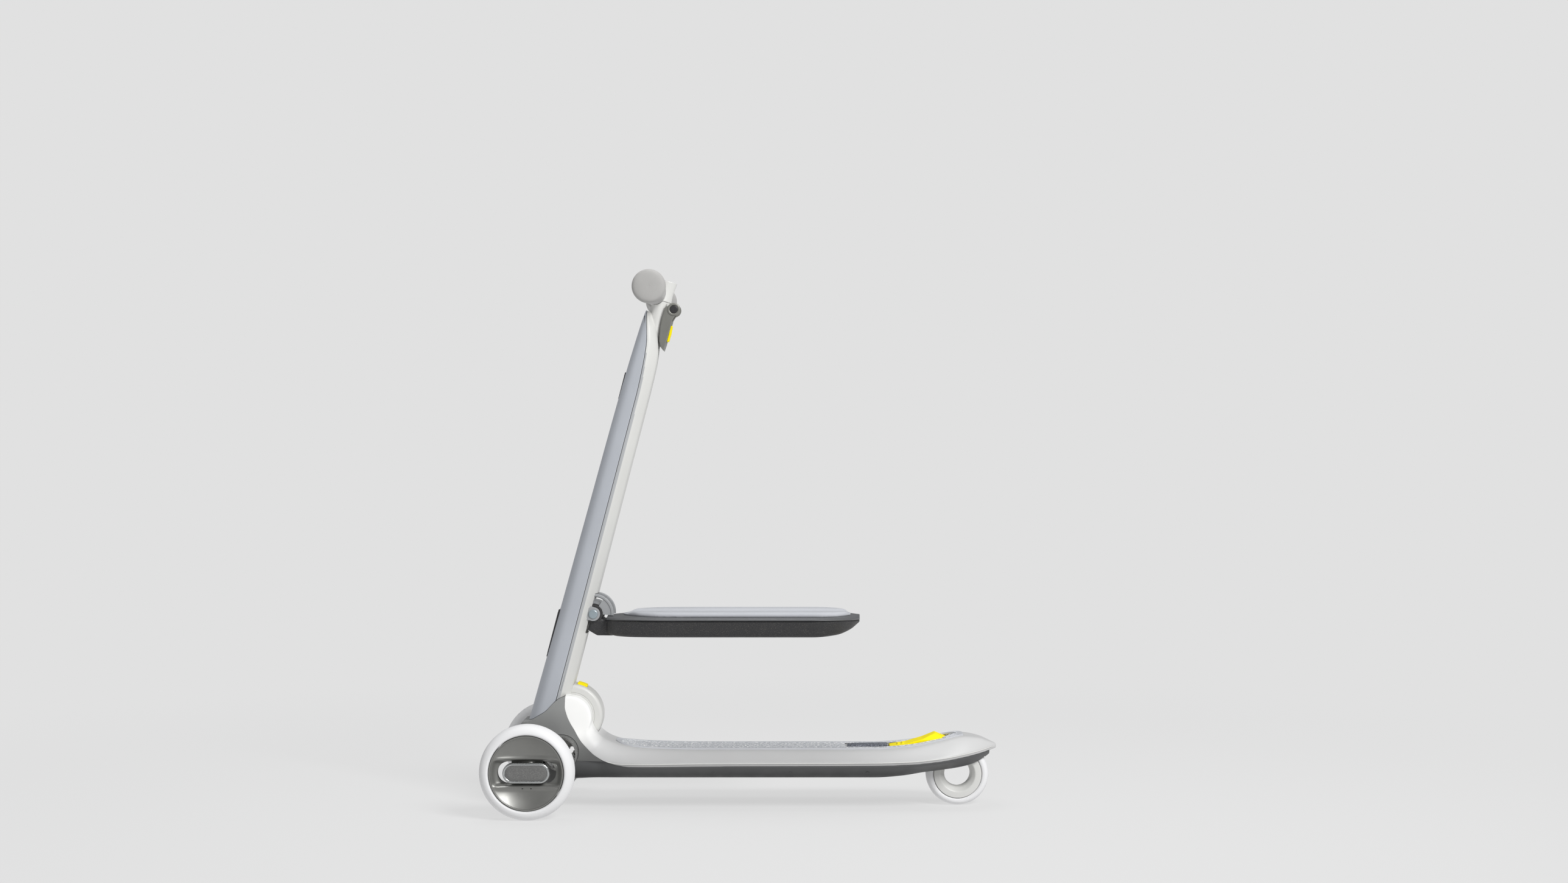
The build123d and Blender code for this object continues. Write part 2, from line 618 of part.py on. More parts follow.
def stem():
    """Two shells round a tube, with the fold barrel at the foot."""
    front = loft_along_z([(s, front_outline(f, g, w)) for s, f, g, r, w in STEM_BODY])
    rear = loft_along_z([(s, rear_outline(g, r, w)) for s, f, g, r, w in STEM_BODY])
    wall = SHELL_WALL
    hollow = []
    for s in (-578.0, -522.0, -440.0, -300.0, -120.0, STEM_CAVITY_TOP):
        at = max(s, STEM_BODY[0][0])
        f, r, w = (between(STEM_BODY, at, column) for column in (1, 3, 4))
        half = [
            (f + wall, 0.42 * w - 1), (0.62 * f, 0.86 * w - wall),
            (0.0, w - wall), (r - wall, 0.52 * w - 2),
        ]
        hollow.append((s, mirrored_xy(half)))
    cavity = loft_along_z(hollow)
    bore = Pos(0, 0, -260) * Cylinder(TUBE_R + 0.02, 600)
    below = wide_side_plate(SEAM + [(-180, 143.6), (-180, 20), (-300, 20)])
    cheek_room = cross_cylinder(CHEEK_R + 0.5, FOLD_X, FOLD_Z, -90, 90)
    barrel = cross_cylinder(BARREL_R, FOLD_X, FOLD_Z, -BARREL_HALF, BARREL_HALF)

    hinge = in_seat_hinge()
    fork_room = both_sides(block(4.6, 30, FORK_IN - 0.4, FORK_OUT + 0.5, -56, 40))
    shells = {}
    for name, shell in (("stem_front_shell", front), ("stem_rear_shell", rear)):
        shell = in_stem(shell - cavity - bore - fork_room)
        shell -= below
        shell -= cheek_room
        shell -= cross_cylinder(BARREL_R + 0.02, FOLD_X, FOLD_Z, -BARREL_HALF - 0.02, BARREL_HALF + 0.02)
        shells[name] = shell
    rear_shell = shells["stem_rear_shell"]
    rear_shell -= cross_cylinder(KNUCKLE_R + 0.7, SEAT_HINGE_X, SEAT_HINGE_Z, -EAR_IN, EAR_IN)
    rear_shell -= hinge["room"]
    parts["seat_bracket"] = hinge["bracket"]

    tube = Pos(0, 0, (TUBE_BOTTOM + TUBE_TOP) / 2) * Cylinder(TUBE_R, TUBE_TOP - TUBE_BOTTOM)
    tube -= Pos(0, 0, (TUBE_BOTTOM + TUBE_TOP) / 2) * Cylinder(SLIDER_R + RUN, TUBE_TOP - TUBE_BOTTOM + 2)
    lug = both_sides(block(8, LEVER_BACK + 4, 4.0, FORK_IN - 0.3, LEVER_UP - 5.5, LEVER_UP + 5.5))
    lug -= Pos(0, 0, 0) * Cylinder(SLIDER_R + 1, 60)
    tube += lug
    tube -= cross_cylinder(LEVER_PIN_R + 0.02, LEVER_BACK, LEVER_UP, -30, 30)
    tube -= block(6, 16, -1.0, 1.0, -18, TUBE_TOP + 1)
    tube -= cross_cylinder(BAR_SLEEVE_R + 0.5, BAR_BACK, BAR_UP, -30, 30)
    parts["stem_tube"] = in_stem(tube)

    barrel -= in_stem(Pos(0, 0, TUBE_BOTTOM + 60) * Cylinder(TUBE_R + 0.02, 120))
    barrel -= cross_cylinder(FOLD_PIN_R + RUN, FOLD_X, FOLD_Z, -60, 60)
    button_place = Pos(FOLD_X, 0, FOLD_Z) * Rot(0, -RELEASE_ANGLE, 0)
    barrel -= button_place * block(29.0, 60, -8.3, 8.3, -6.8, 6.8)
    parts["fold_barrel"] = largest(barrel)
    button = button_place * block(33.2, 43.6, -8, 8, -6.5, 6.5)
    wheel_room = cross_cylinder(43.4, FOLD_X, FOLD_Z, -30, 30)
    parts["fold_release_button"] = button & wheel_room
    rear_shell -= button_place * block(29.0, 60, -8.3, 8.3, -6.8, 6.8)
    parts["fold_pin"] = cross_cylinder(FOLD_PIN_R, FOLD_X, FOLD_Z, -CHEEK_HALF + 1, CHEEK_HALF - 1)

    lens = in_stem(block(-29.0, -26.4, -11, 11, -474, -419))
    bezel = in_stem(block(-28.5, -25.4, -14, 14, -478, -415)) - lens
    bezel -= in_stem(block(-27, -24, -9, 9, -472, -421))
    parts["headlight_lens"] = lens
    parts["headlight_bezel"] = bezel
    parts["headlight_board"] = in_stem(block(-24.2, -22.6, -9, 9, -470, -423))
    light_room = in_stem(block(-40, -22, -14.02, 14.02, -478.02, -414.98))
    reflector = in_stem(block(-23.2, -20.6, -8, 8, -128, -92))
    parts["front_reflector"] = reflector
    parts["stem_front_shell"] = largest(shells["stem_front_shell"] - light_room - reflector)
    parts["stem_rear_shell"] = largest(rear_shell)

    slider_height = COLLAR_TOP - 4 - SLIDER_BOTTOM
    slider = Pos(0, 0, SLIDER_BOTTOM + slider_height / 2) * Cylinder(SLIDER_R, slider_height)
    slider -= Pos(0, 0, SLIDER_BOTTOM + slider_height / 2) * Cylinder(SLIDER_R - 1.6, slider_height + 2)
    parts["slider_tube"] = in_stem(slider)


def in_seat_hinge():
    """Bracket on the stem tube with two ears for the seat pin, and the room it needs."""
    hinge_back = (SEAT_HINGE_X + 111.1) * cos(radians(RAKE)) - (SEAT_HINGE_Z - 650.4) * sin(radians(RAKE))
    hinge_up = (SEAT_HINGE_Z - 650.4) * cos(radians(RAKE)) + (SEAT_HINGE_X + 111.1) * sin(radians(RAKE))
    clamp = Pos(0, 0, hinge_up) * Cylinder(16.0, 24)
    bar = block(-2, 3, -EAR_OUT, EAR_OUT, hinge_up - 9, hinge_up + 9)
    ear = side_plate([(-2, hinge_up - 9), (-2, hinge_up + 9), (hinge_back, hinge_up + EAR_R),
                      (hinge_back, hinge_up - EAR_R)], EAR_IN, EAR_OUT)
    ear += cross_cylinder(EAR_R, hinge_back, hinge_up, EAR_IN, EAR_OUT)
    ears = both_sides(ear)
    bracket = clamp + bar + ears
    bracket -= Pos(0, 0, hinge_up) * Cylinder(TUBE_R + 0.02, 80)
    bracket -= cross_cylinder(KNUCKLE_R + 0.7, hinge_back, hinge_up, -EAR_IN, EAR_IN)
    bracket -= cross_cylinder(SEAT_PIN_R + 0.02, hinge_back, hinge_up, -60, 60)
    room = both_sides(
        side_plate([(-3.3, hinge_up - 10), (-3.3, hinge_up + 10), (hinge_back + 20, hinge_up + 30),
                    (hinge_back + 20, hinge_up - 30)], EAR_IN - 0.02, EAR_OUT + 0.3)
    )
    return {"bracket": in_stem(bracket), "room": in_stem(room)}


# ---------------------------------------------------------------- handlebar
def grip_profile(side):
    """Grip about the bar: thicker towards its outer end."""
    return [
        (BAR_R + 0.02, 44), (15.2, 44), (16.6, 47), (18.4, 90), (GRIP_R, BAR_HALF - CAP_LENGTH),
        (BAR_R + 0.02, BAR_HALF - CAP_LENGTH),
    ]


def handlebar():
    """T-collar, bar, grips and end caps. They rise together with the slider tube."""
    bar_x = -111.1 + BAR_BACK * cos(radians(RAKE)) + BAR_UP * sin(radians(RAKE))
    bar_z = 650.4 - BAR_BACK * sin(radians(RAKE)) + BAR_UP * cos(radians(RAKE))
    profile = [
        (0, 10.9), (TUBE_R, 10.9), (12.0, 16), (11.9, 22),
        (12.6, 30), (13.6, COLLAR_TOP), (0, COLLAR_TOP),
    ]
    collar = revolve(Face(Wire.make_polygon([(r, 0, s) for r, s in profile], close=True)), Axis.Z, 360)
    collar = in_stem(collar)
    collar += cross_cylinder(BAR_SLEEVE_R, bar_x, bar_z, -30, 30)
    collar -= in_stem(Pos(0, 0, -20) * Cylinder(SLIDER_R + 0.02, 108))
    collar -= in_stem(Pos(0, 0, COLLAR_TOP - 0.5) * Cylinder(6.3, 6))
    collar -= cross_cylinder(BAR_R + 0.02, bar_x, bar_z, -60, 60)
    parts["handlebar_collar"] = largest(collar)
    parts["slider_tube"] = largest(parts["slider_tube"] - cross_cylinder(BAR_R + 0.04, bar_x, bar_z, -60, 60))
    bar = cross_cylinder(BAR_R, bar_x, bar_z, -BAR_HALF + CAP_LENGTH, BAR_HALF - CAP_LENGTH)
    bar -= cross_cylinder(BAR_R - 1.8, bar_x, bar_z, -BAR_HALF, BAR_HALF)
    parts["handlebar_tube"] = bar
    caps = Part()
    for name, side in (("left", -1), ("right", 1)):
        parts[f"grip_{name}"] = ring_of_profile(grip_profile(side), bar_x, 0, bar_z, side)
        start = BAR_HALF - CAP_LENGTH
        cap = [(0, start), (GRIP_R, start), (GRIP_R, BAR_HALF - 5), (GRIP_R - 1.5, BAR_HALF - 1.8),
               (GRIP_R - 5, BAR_HALF - 0.3), (GRIP_R - 9, BAR_HALF), (0, BAR_HALF)]
        caps += ring_of_profile(cap, bar_x, 0, bar_z, side)
    parts["grip_caps"] = caps
    parts["power_button"] = in_stem(Pos(0, 0, COLLAR_TOP - 0.6) * Cylinder(6.0, 2.2))


def lever():
    """Quick-release lever that straddles the top of the stem tube, and its safety button."""
    outline = [
        (LEVER_BACK - LEVER_BOSS_R, LEVER_UP + 2), (7.0, 6.0), (5.9, -8.4), (7.2, -24),
        (10.1, -40.5), (13.6, -48), (18.9, -52.2),
        (19.5, -44.6), (20.0, -20), (20.0, -9.8), (22, -4), (LEVER_BACK + 6, LEVER_UP - 5.0),
        (LEVER_BACK + 6, LEVER_UP + 6), (LEVER_BACK - 3, LEVER_UP + 7.5),
    ]
    body = side_plate(outline, -FORK_OUT, FORK_OUT)
    body += cross_cylinder(LEVER_BOSS_R, LEVER_BACK, LEVER_UP, -FORK_OUT, FORK_OUT)
    body -= block(-40, 40, -FORK_IN, FORK_IN, -12, 40)
    body -= block(-40, 15.2, -FORK_IN, FORK_IN, -60, 40)
    body -= cross_cylinder(LEVER_PIN_R + RUN, LEVER_BACK, LEVER_UP, -30, 30)
    pocket = block(17.6, 30, -6.3, 6.3, -39.8, -16.7)
    body -= pocket
    parts["quick_release_lever"] = largest(in_stem(body))
    button = side_plate([(19.7, -39.3), (22.2, -38.5), (22.6, -28), (21.8, -17.5), (19.7, -17.2)], -6, 6)
    parts["lever_button"] = in_stem(button)
    pin = cross_cylinder(LEVER_PIN_R, LEVER_BACK, LEVER_UP, -FORK_OUT - 0.6, FORK_OUT + 0.6)
    parts["lever_pin"] = in_stem(pin)


# ---------------------------------------------------------------- seat
def seat():
    """Fold-down seat: pan, rim band and a dished pad, on a knuckle between the ears."""
    pan = []
    band = []
    for x, half, rim_z, low_half, bottom, pad_half in SEAT:
        pan.append((x, mirrored([(half - 3, rim_z - 1.5), (low_half, bottom)])))
        inner = max(pad_half, 3.0)
        band.append((x, mirrored([(inner, SEAT_DECK_Z), (half, rim_z + 0.4), (half - 2.6, rim_z - 1.5)])))
    pan = loft_along_x(pan)
    knuckle = both_sides(cross_cylinder(KNUCKLE_R, SEAT_HINGE_X, SEAT_HINGE_Z, 14.2, KNUCKLE_HALF))
    root = side_plate(
        [
            (-199, 239.5), (-204.6, 229.5), (-192, 222.6), (-175, 223.0),
            (-175, 243.0), (-185, 250.5), (-192, 250.5),
        ],
        -KNUCKLE_HALF + 3, KNUCKLE_HALF - 3,
    )
    pan += knuckle + root
    hollow = []
    for x in (-150, -100, 90, 118):
        half, rim_z, low_half, bottom = (between(SEAT, x, column) for column in (1, 2, 3, 4))
        hollow.append((x, mirrored([(half - 9, rim_z - 4), (low_half - 2, bottom + 2.6)])))
    pan -= loft_along_x(hollow)
    pan -= cross_cylinder(SEAT_PIN_R + RUN, SEAT_HINGE_X, SEAT_HINGE_Z, -60, 60)
    pan -= cross_cylinder(KNUCKLE_R + 0.5, SEAT_HINGE_X, SEAT_HINGE_Z, -14.2, 14.2)
    band = loft_along_x(band)
    band -= pan
    band -= both_sides(cross_cylinder(EAR_R + 0.6, SEAT_HINGE_X, SEAT_HINGE_Z, EAR_IN - 0.4, 60))
    parts["seat_pan"] = largest(pan)
    parts["seat_rim"] = largest(band)

    pad = []
    for x, pad_half, top in ((-159, 10, 251.0), (-148, 26, 254.2), (-134, 40, 255.2), (-108, 51, PAD_TOP),
                             (-60, 53.8, PAD_TOP), (95, 53.8, PAD_TOP), (118, 47, 255.0), (131, 32, 254.2),
                             (139, 14, 251.0)):
        shoulder = (top + SEAT_DECK_Z) / 2 + 0.6
        edge = [(pad_half - 2.5, top), (pad_half, shoulder), (pad_half, SEAT_DECK_Z + 0.1)]
        pad.append((x, mirrored(edge)))
    pad = loft_along_x(pad)
    dish = [
        (PAD_DISH_HALF - 5, PAD_TOP - PAD_DISH), (PAD_DISH_HALF + 2, PAD_TOP + 0.5),
        (PAD_DISH_HALF + 2, PAD_TOP + 9),
    ]
    trough = mirrored(list(reversed(dish)))
    pad -= loft_along_x([(-170, trough), (150, trough)])
    pad -= parts["seat_rim"]
    pad -= parts["seat_pan"]
    parts["seat_pad"] = largest(pad)
    parts["seat_pin"] = cross_cylinder(SEAT_PIN_R, SEAT_HINGE_X, SEAT_HINGE_Z, -EAR_OUT - 1.0, EAR_OUT + 1.0)


def build():
    """Build every node, in an order in which the cuts can use what is already there."""
    for name, side in (("left", -1), ("right", 1)):
        front_wheel(name, side)
    truck()
    deck()
    front_housing()
    rear_wheel()
    brake_pedal()
    stem()
    handlebar()
    lever()
    seat()


build()
os.makedirs("parts", exist_ok=True)
for old in os.listdir("parts"):
    os.remove(os.path.join("parts", old))
for name, part in parts.items():
    export_step(part, f"parts/{name}.step")
print(len(parts), "nodes")
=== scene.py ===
from math import atan2, cos, exp, pi, radians, sin, sqrt

import bmesh
import bpy
import numpy as np
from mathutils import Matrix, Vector


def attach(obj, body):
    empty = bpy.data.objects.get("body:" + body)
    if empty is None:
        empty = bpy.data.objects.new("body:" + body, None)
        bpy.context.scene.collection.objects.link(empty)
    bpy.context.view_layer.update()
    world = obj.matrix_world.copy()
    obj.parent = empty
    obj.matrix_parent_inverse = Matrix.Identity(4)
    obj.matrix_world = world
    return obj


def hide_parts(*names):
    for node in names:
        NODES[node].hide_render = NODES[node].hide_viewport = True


# Three-wheel kick scooter. Lengths in the tables are millimetres, in the CAD frame:
# +Z up, the scooter travels towards -X, and the rider's right is +Y.

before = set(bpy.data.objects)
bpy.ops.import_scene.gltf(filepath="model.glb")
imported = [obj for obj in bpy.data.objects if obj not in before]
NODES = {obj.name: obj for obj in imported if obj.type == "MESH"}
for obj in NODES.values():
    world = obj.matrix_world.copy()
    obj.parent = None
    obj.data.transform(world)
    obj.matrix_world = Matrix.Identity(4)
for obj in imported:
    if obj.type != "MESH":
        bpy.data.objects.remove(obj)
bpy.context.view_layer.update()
MM = 0.001
SIDES = (("left", -1), ("right", 1))

# ------------------------------------------------------------------ numbers shared with the CAD
WHEEL_X, WHEEL_R, TRACK_HALF = -271.1, 60.0, 127.0
REAR_X, REAR_R = 279.6, 41.0
FOLD_X, FOLD_Z, BARREL_R, CHEEK_R, CHEEK_HALF = -226.0, 118.0, 40.7, 27.7, 45.0
COLLAR_X, COLLAR_Z, COLLAR_R = -235.8, 74.4, 22.0
TRUCK_X, TRUCK_Z = -272.5, 58.0
SEAT_HINGE_X, SEAT_HINGE_Z = -197.0, 251.0
PEDAL_X, PEDAL_HALF = 194.0, 16.5
SCREW_XS, SCREW_Y = (-140, -40, 60, 160), 54.5
RAKE = radians(14.6)
STEM_AT = Vector((-111.1, 0, 650.4))
STEM_BACK = Vector((cos(RAKE), 0, -sin(RAKE)))
STEM_UP = Vector((sin(RAKE), 0, cos(RAKE)))
# The handlebar's centre and the lever's pin, back and up in the stem's frame
BAR_BACK, BAR_UP = -11.06, 17.5
LEVER_BACK, LEVER_UP = 18.3, 3.84

# ------------------------------------------------------------------ numbers of the visible shapes
LIP = 4.5  # how far the deck shell reaches below its rim
WELL_R, WELL_HALF = 42.6, 16.2  # room for the rear wheel
DRUM_ROOM_R, DRUM_ROOM_HALF = 27.2, 22.0  # room in the stem for the seat's hinge
RELEASE_TURN = radians(71)  # where the release button sits on the barrel
BADGE_LENGTH, BADGE_HEIGHT = 29.7, 12.8  # half sizes of the wheel's badge
SLOT_LENGTH, SLOT_HEIGHT = 37.0, 13.8  # half sizes of the hub's slot
HUB_LIP = {45.6: 14.6, 46.5: 14.6, 46.95: 14.0}  # radius and stand-out of the hub's outer lip
PAD_FLOOR, PAD_DISH = 248.6, 3.4  # bottom of the seat pad, and how deep its middle dips
FAR = 100.0  # half width of a tool that cuts right through
JOIN_X, JOIN_Z = -231.5, 146.2  # where the seam meets the edge of the deck shell

# ------------------------------------------------------------------ light and backdrop
BACKGROUND = 0.7529
FLOOR_REACH, FLOOR_GLOW, FLOOR_ALBEDO = 30.0, 0.79, 0.165
FADE_START, FADE_END = 0.45, 1.7  # metres from the object, where the floor melts into the backdrop
AMBIENT = 0.26
CAMERA_AT, CAMERA_TILT = (0.0521, -2.8689, 0.4604), 90.32

# ------------------------------------------------------------------ station tables
# x, half width at the rim, rim height, half width of the flat top, top height
DECK = [
    (-186, 52, 67, 30, 92.8), (-172, 58, 62, 34, 85.4), (-156, 62, 60.5, 37, 81),
    (-130, 64.5, 60.5, 38.5, 78), (-60, 65, 61.5, 39, 76), (170, 65, 62.5, 39, 76),
    (215, 62.5, 63.5, 38.5, 79), (253, 57, 66.5, 36, 86), (286, 45, 71, 29, 91.8),
    (308, 31, 74.5, 19, 89), (322, 17, 77, 10, 83.5), (331.1, 4, 78, 2.5, 79.6),
]
# The deck's front end as it climbs to the fold joint, in the same columns
NECK = [
    (-242, 45, 124, 43, 148), (-226, 45.2, 104, 43, 146.5), (-215, 46, 86, 42, 141.5),
    (-206, 47.5, 73, 40.5, 133), (-200, 49.5, 67.5, 38, 116), (-194, 51.5, 65, 36, 101.5),
    (-186, 54, 63.5, 34.5, 93),
]
# x, half width of the flat bottom, bottom height
BELLY = [
    (-219, 42, 38.5), (-190, 45, 40), (170, 45, 40), (205, 42, 42), (235, 33, 45.5), (262, 23, 47.5),
    (290, 21, 52), (310, 15, 59), (322, 8, 67),
]
# x, half width at the rim, rim height, half width below, bottom height, half width of the pad
SEAT = [
    (-179, 30, 245, 24, 225, 4), (-165, 46, 245.5, 36, 222.6, 14), (-140, 58, 246, 46, 222, 40),
    (-100, 65, 246, 50, 222, 53.8), (90, 65, 246, 50, 222, 53.8), (120, 56, 245.5, 42, 224.5, 46),
    (139, 38, 245, 28, 231, 26), (151.5, 9, 244, 6, 239.5, 4),
]
# height in the stem's frame, front, groove, rear, half width
STEM_BODY = [
    (-575, -30, 0, 15.5, 43.5), (-522, -29, 0, 15.5, 42), (-440, -27.5, 0, 15.5, 38),
    (-300, -25.5, 0, 15.5, 34), (-120, -22.9, 0, 15.5, 30),
    (-80, -21.8, -1.6, 14.9, 28), (-50, -20.6, -4.5, 12, 25), (-30, -19.6, -9.2, 5.2, 22),
    (-18, -18.7, -13.0, -0.6, 19), (-11, -18, -14.6, -6, 16.5), (-6.5, -17.4, -15.2, -11, 13.5),
]
# x, height of the seam between the stem and the housing
SEAM = [
    (-300, 110), (-279.5, 113.5), (-267, 120.5), (-257, 127), (-247.8, 136.6), (-239.1, 143.5),
    (JOIN_X, JOIN_Z),
]
# x, height of the edge where the deck shell wraps the housing, from the top down
WRAP = [
    (JOIN_X, JOIN_Z), (-232, 132.7), (-229.9, 123.1), (-225.9, 113.4), (-219.4, 102.2), (-211.4, 88.5),
    (-203.4, 79.6), (-193.7, 70.8), (-180.8, 63.6),
]
# The same edge where it runs on as the deck's lower edge
LOWER_EDGE = [(-180.8, 63.6), (-166, 59.3), (-148, 56.6), (-130, 55.6)]
# x, half width of the grip mat
MAT = [
    (-168, 10), (-163, 19), (-156, 26), (-146, 31), (-130, 33.8), (-60, 34.4), (170, 34.4), (215, 34.2),
    (253, 31), (272, 25.5), (282, 20), (287, 12),
]
# x, half width, top height of the seat pad
PAD = [
    (-159, 8, 250.4), (-156, 14, 252.6), (-148, 26, 254.4), (-134, 40, 255.2), (-108, 51, 255.4),
    (-60, 53.8, 255.4), (95, 53.8, 255.4), (118, 47, 255), (131, 33, 254.4), (137, 21, 252.8),
    (140, 10, 250.6),
]
# y, height of the trough along the pad, where the folded stem lies
TROUGH = [(-29, 270), (-29, 256.5), (-21, 251.4), (21, 251.4), (29, 256.5), (29, 270)]


# ------------------------------------------------------------------ curves
def smooth(table, at):
    """Columns of a station table at new positions, on a curve that never overshoots the stations."""
    table = np.array(table, float)
    x = table[:, 0]
    gaps = np.diff(x)
    at = np.clip(np.array(at, float), x[0], x[-1])
    place = np.clip(np.searchsorted(x, at, side="right") - 1, 0, len(x) - 2)
    t = (at - x[place]) / gaps[place]
    columns = [at]
    for column in table[:, 1:].T:
        steps = np.diff(column) / gaps
        slope = np.concatenate(([steps[0]], np.zeros(len(x) - 2), [steps[-1]]))
        for i in range(1, len(x) - 1):
            if steps[i - 1] * steps[i] > 0:
                a, b = 2 * gaps[i] + gaps[i - 1], gaps[i] + 2 * gaps[i - 1]
                slope[i] = (a + b) / (a / steps[i - 1] + b / steps[i])
        low, high = column[place], column[place + 1]
        left, right = slope[place] * gaps[place], slope[place + 1] * gaps[place]
        columns.append(
            low + t * left + t * t * (3 * (high - low) - 2 * left - right)
            + t ** 3 * (2 * (low - high) + left + right)
        )
    return np.array(columns).T


def stations(table, low, high, step):
    """A station table sampled about every step between two positions."""
    return smooth(table, np.linspace(low, high, max(2, int(round((high - low) / step)) + 1)))


def rounded(points, radii, steps=5):
    """A closed outline with each corner turned into a short curve."""
    corners = [Vector(p) for p in points]
    out = []
    for i, corner in enumerate(corners):
        before, after = corners[i - 1] - corner, corners[(i + 1) % len(corners)] - corner
        start = corner + before.normalized() * min(radii[i], before.length * 0.48)
        end = corner + after.normalized() * min(radii[i], after.length * 0.48)
        for k in range(steps + 1):
            t = k / steps
            out.append(start * (1 - t) ** 2 + corner * 2 * t * (1 - t) + end * t * t)
    return out


def section(x, half, radii, steps):
    """The ring at x whose +Y half is given from the top down as (y, z), with its corners rounded."""
    outline = half + [(-y, z) for y, z in reversed(half)]
    return [(x, y, z) for y, z in rounded(outline, radii + radii[::-1], steps)]


def stem_point(back, across, up):
    """A point in the CAD frame from its place in the stem's own frame."""
    return STEM_AT + STEM_BACK * back + Vector((0, across, 0)) + STEM_UP * up


# ------------------------------------------------------------------ meshes
def add(name, data):
    """A new object in the scene."""
    item = bpy.data.objects.new(name, data)
    bpy.context.scene.collection.objects.link(item)
    return item


def make(name, points, faces):
    """A new piece from points in millimetres, with its doubles merged and its faces turned outwards."""
    mesh = bpy.data.meshes.new(name)
    mesh.from_pydata([tuple(Vector(p) * MM) for p in points], [], faces)
    build = bmesh.new()
    build.from_mesh(mesh)
    bmesh.ops.remove_doubles(build, verts=build.verts, dist=1e-6)
    bmesh.ops.recalc_face_normals(build, faces=build.faces)
    build.to_mesh(mesh)
    build.free()
    return add(name, mesh)


def loft(name, rings):
    """A closed skin over rings of equally many points, in millimetres."""
    count = len(rings[0])
    points = [p for ring in rings for p in ring]
    faces = []
    for k in range(len(rings) - 1):
        for i in range(count):
            j = (i + 1) % count
            faces.append((k * count + i, k * count + j, (k + 1) * count + j, (k + 1) * count + i))
    faces.append(tuple(range(count)))
    faces.append(tuple(range((len(rings) - 1) * count, len(rings) * count)))
    return make(name, points, faces)


def lathe(name, profile, centre, side=1, steps=144, start=0.0, sweep=360.0):
    """A profile of (radius, outward offset) turned about a cross axis through centre."""
    whole = sweep >= 360
    turns = steps if whole else steps + 1
    rings = []
    for k in range(turns):
        a = radians(start + sweep * k / steps)
        rings.append([Vector((r * cos(a), side * w, r * sin(a))) + Vector(centre) for r, w in profile])
    count = len(profile)
    points = [p for ring in rings for p in ring]
    faces = []
    for k in range(turns if whole else turns - 1):
        n = (k + 1) % turns
        for i in range(count):
            j = (i + 1) % count
            faces.append((k * count + i, k * count + j, n * count + j, n * count + i))
    if not whole:
        faces.append(tuple(range(count)))
        faces.append(tuple(range((turns - 1) * count, turns * count)))
    return make(name, points, faces)


def prism(name, outline, low, high):
    """A side outline of (x, z) points pushed across from y = low to y = high."""
    return loft(name, [[(x, low, z) for x, z in outline], [(x, high, z) for x, z in outline]])


def circle(a, b, radius, steps):
    """Points round a circle."""
    turns = [2 * pi * k / steps for k in range(steps)]
    return [(a + radius * cos(turn), b + radius * sin(turn)) for turn in turns]


def rod(name, radius, x, z, low, high, steps=96):
    """A cylinder along Y."""
    return prism(name, circle(x, z, radius, steps), low, high)


def post(x, y, radius, low, high, steps=32):
    """An upright cylinder."""
    return loft("post", [[(a, b, z) for a, b in circle(x, y, radius, steps)] for z in (low, high)])


def brick(name, x0, x1, y0, y1, z0, z1):
    """A box between two corners."""
    return prism(name, [(x0, z0), (x1, z0), (x1, z1), (x0, z1)], y0, y1)


def bake(piece):
    """Apply every modifier."""
    graph = bpy.context.evaluated_depsgraph_get()
    mesh = bpy.data.meshes.new_from_object(piece.evaluated_get(graph))
    piece.modifiers.clear()
    piece.data = mesh
    return piece


def combine(piece, tool, operation):
    """One boolean, which uses the tool up."""
    change = piece.modifiers.new("combine", "BOOLEAN")
    change.operation = operation
    change.solver = "MANIFOLD"
    change.object = tool
    bake(piece)
    bpy.data.objects.remove(tool)
    return piece


def cut(piece, *tools):
    """Take each tool's volume out of a piece."""
    for tool in tools:
        combine(piece, tool, "DIFFERENCE")
    return piece


def join(name, pieces):
    """One mesh that holds all the pieces' shells."""
    build = bmesh.new()
    for piece in pieces:
        build.from_mesh(piece.data)
    mesh = bpy.data.meshes.new(name)
    build.to_mesh(mesh)
    build.free()
    for piece in pieces:
        bpy.data.objects.remove(piece)
    return add(name, mesh)


def fuse(piece, voxel, rounds):
    """Melt overlapping shells into one skin, then ease its edges."""
    melt = piece.modifiers.new("melt", "REMESH")
    melt.mode = "VOXEL"
    melt.voxel_size = voxel * MM
    ease = piece.modifiers.new("ease", "SMOOTH")
    ease.factor = 0.5
    ease.iterations = rounds
    return bake(piece)


def copy_of(node, name):
    """A new piece with a CAD node's mesh."""
    piece = add(name, NODES[node].data.copy())
    build = bmesh.new()
    build.from_mesh(piece.data)
    bmesh.ops.remove_doubles(build, verts=build.verts, dist=1e-6)
    build.to_mesh(piece.data)
    build.free()
    return piece


def settle(piece, body, slot, angle=32, replaces=(), look=None):
    """Give a finished piece its body, slot and shading; its look is the slot's own unless named."""
    piece.data.materials.clear()
    piece.data.materials.append(SURFACES[look or slot])
    piece.data.polygons.foreach_set("use_smooth", [True] * len(piece.data.polygons))
    piece.data.polygons.foreach_set("material_index", [0] * len(piece.data.polygons))
    piece.data.set_sharp_from_angle(angle=radians(angle))
    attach(piece, body)
    if replaces:
        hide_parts(*replaces)
    return piece


# ------------------------------------------------------------------ materials
def linear(value):
    """A screen value from 0 to 255 as linear light."""
    value /= 255
    return value / 12.92 if value <= 0.04045 else ((value + 0.055) / 1.055) ** 2.4


def colour(rgb, gain=1.0):
    """A screen colour as linear RGBA, scaled by a gain."""
    return tuple(min(1.0, linear(v) * gain) for v in rgb) + (1.0,)


def fill(node, values):
    """Set a node's unlinked inputs."""
    for socket, value in values.items():
        node.inputs[socket].default_value = value
    return node


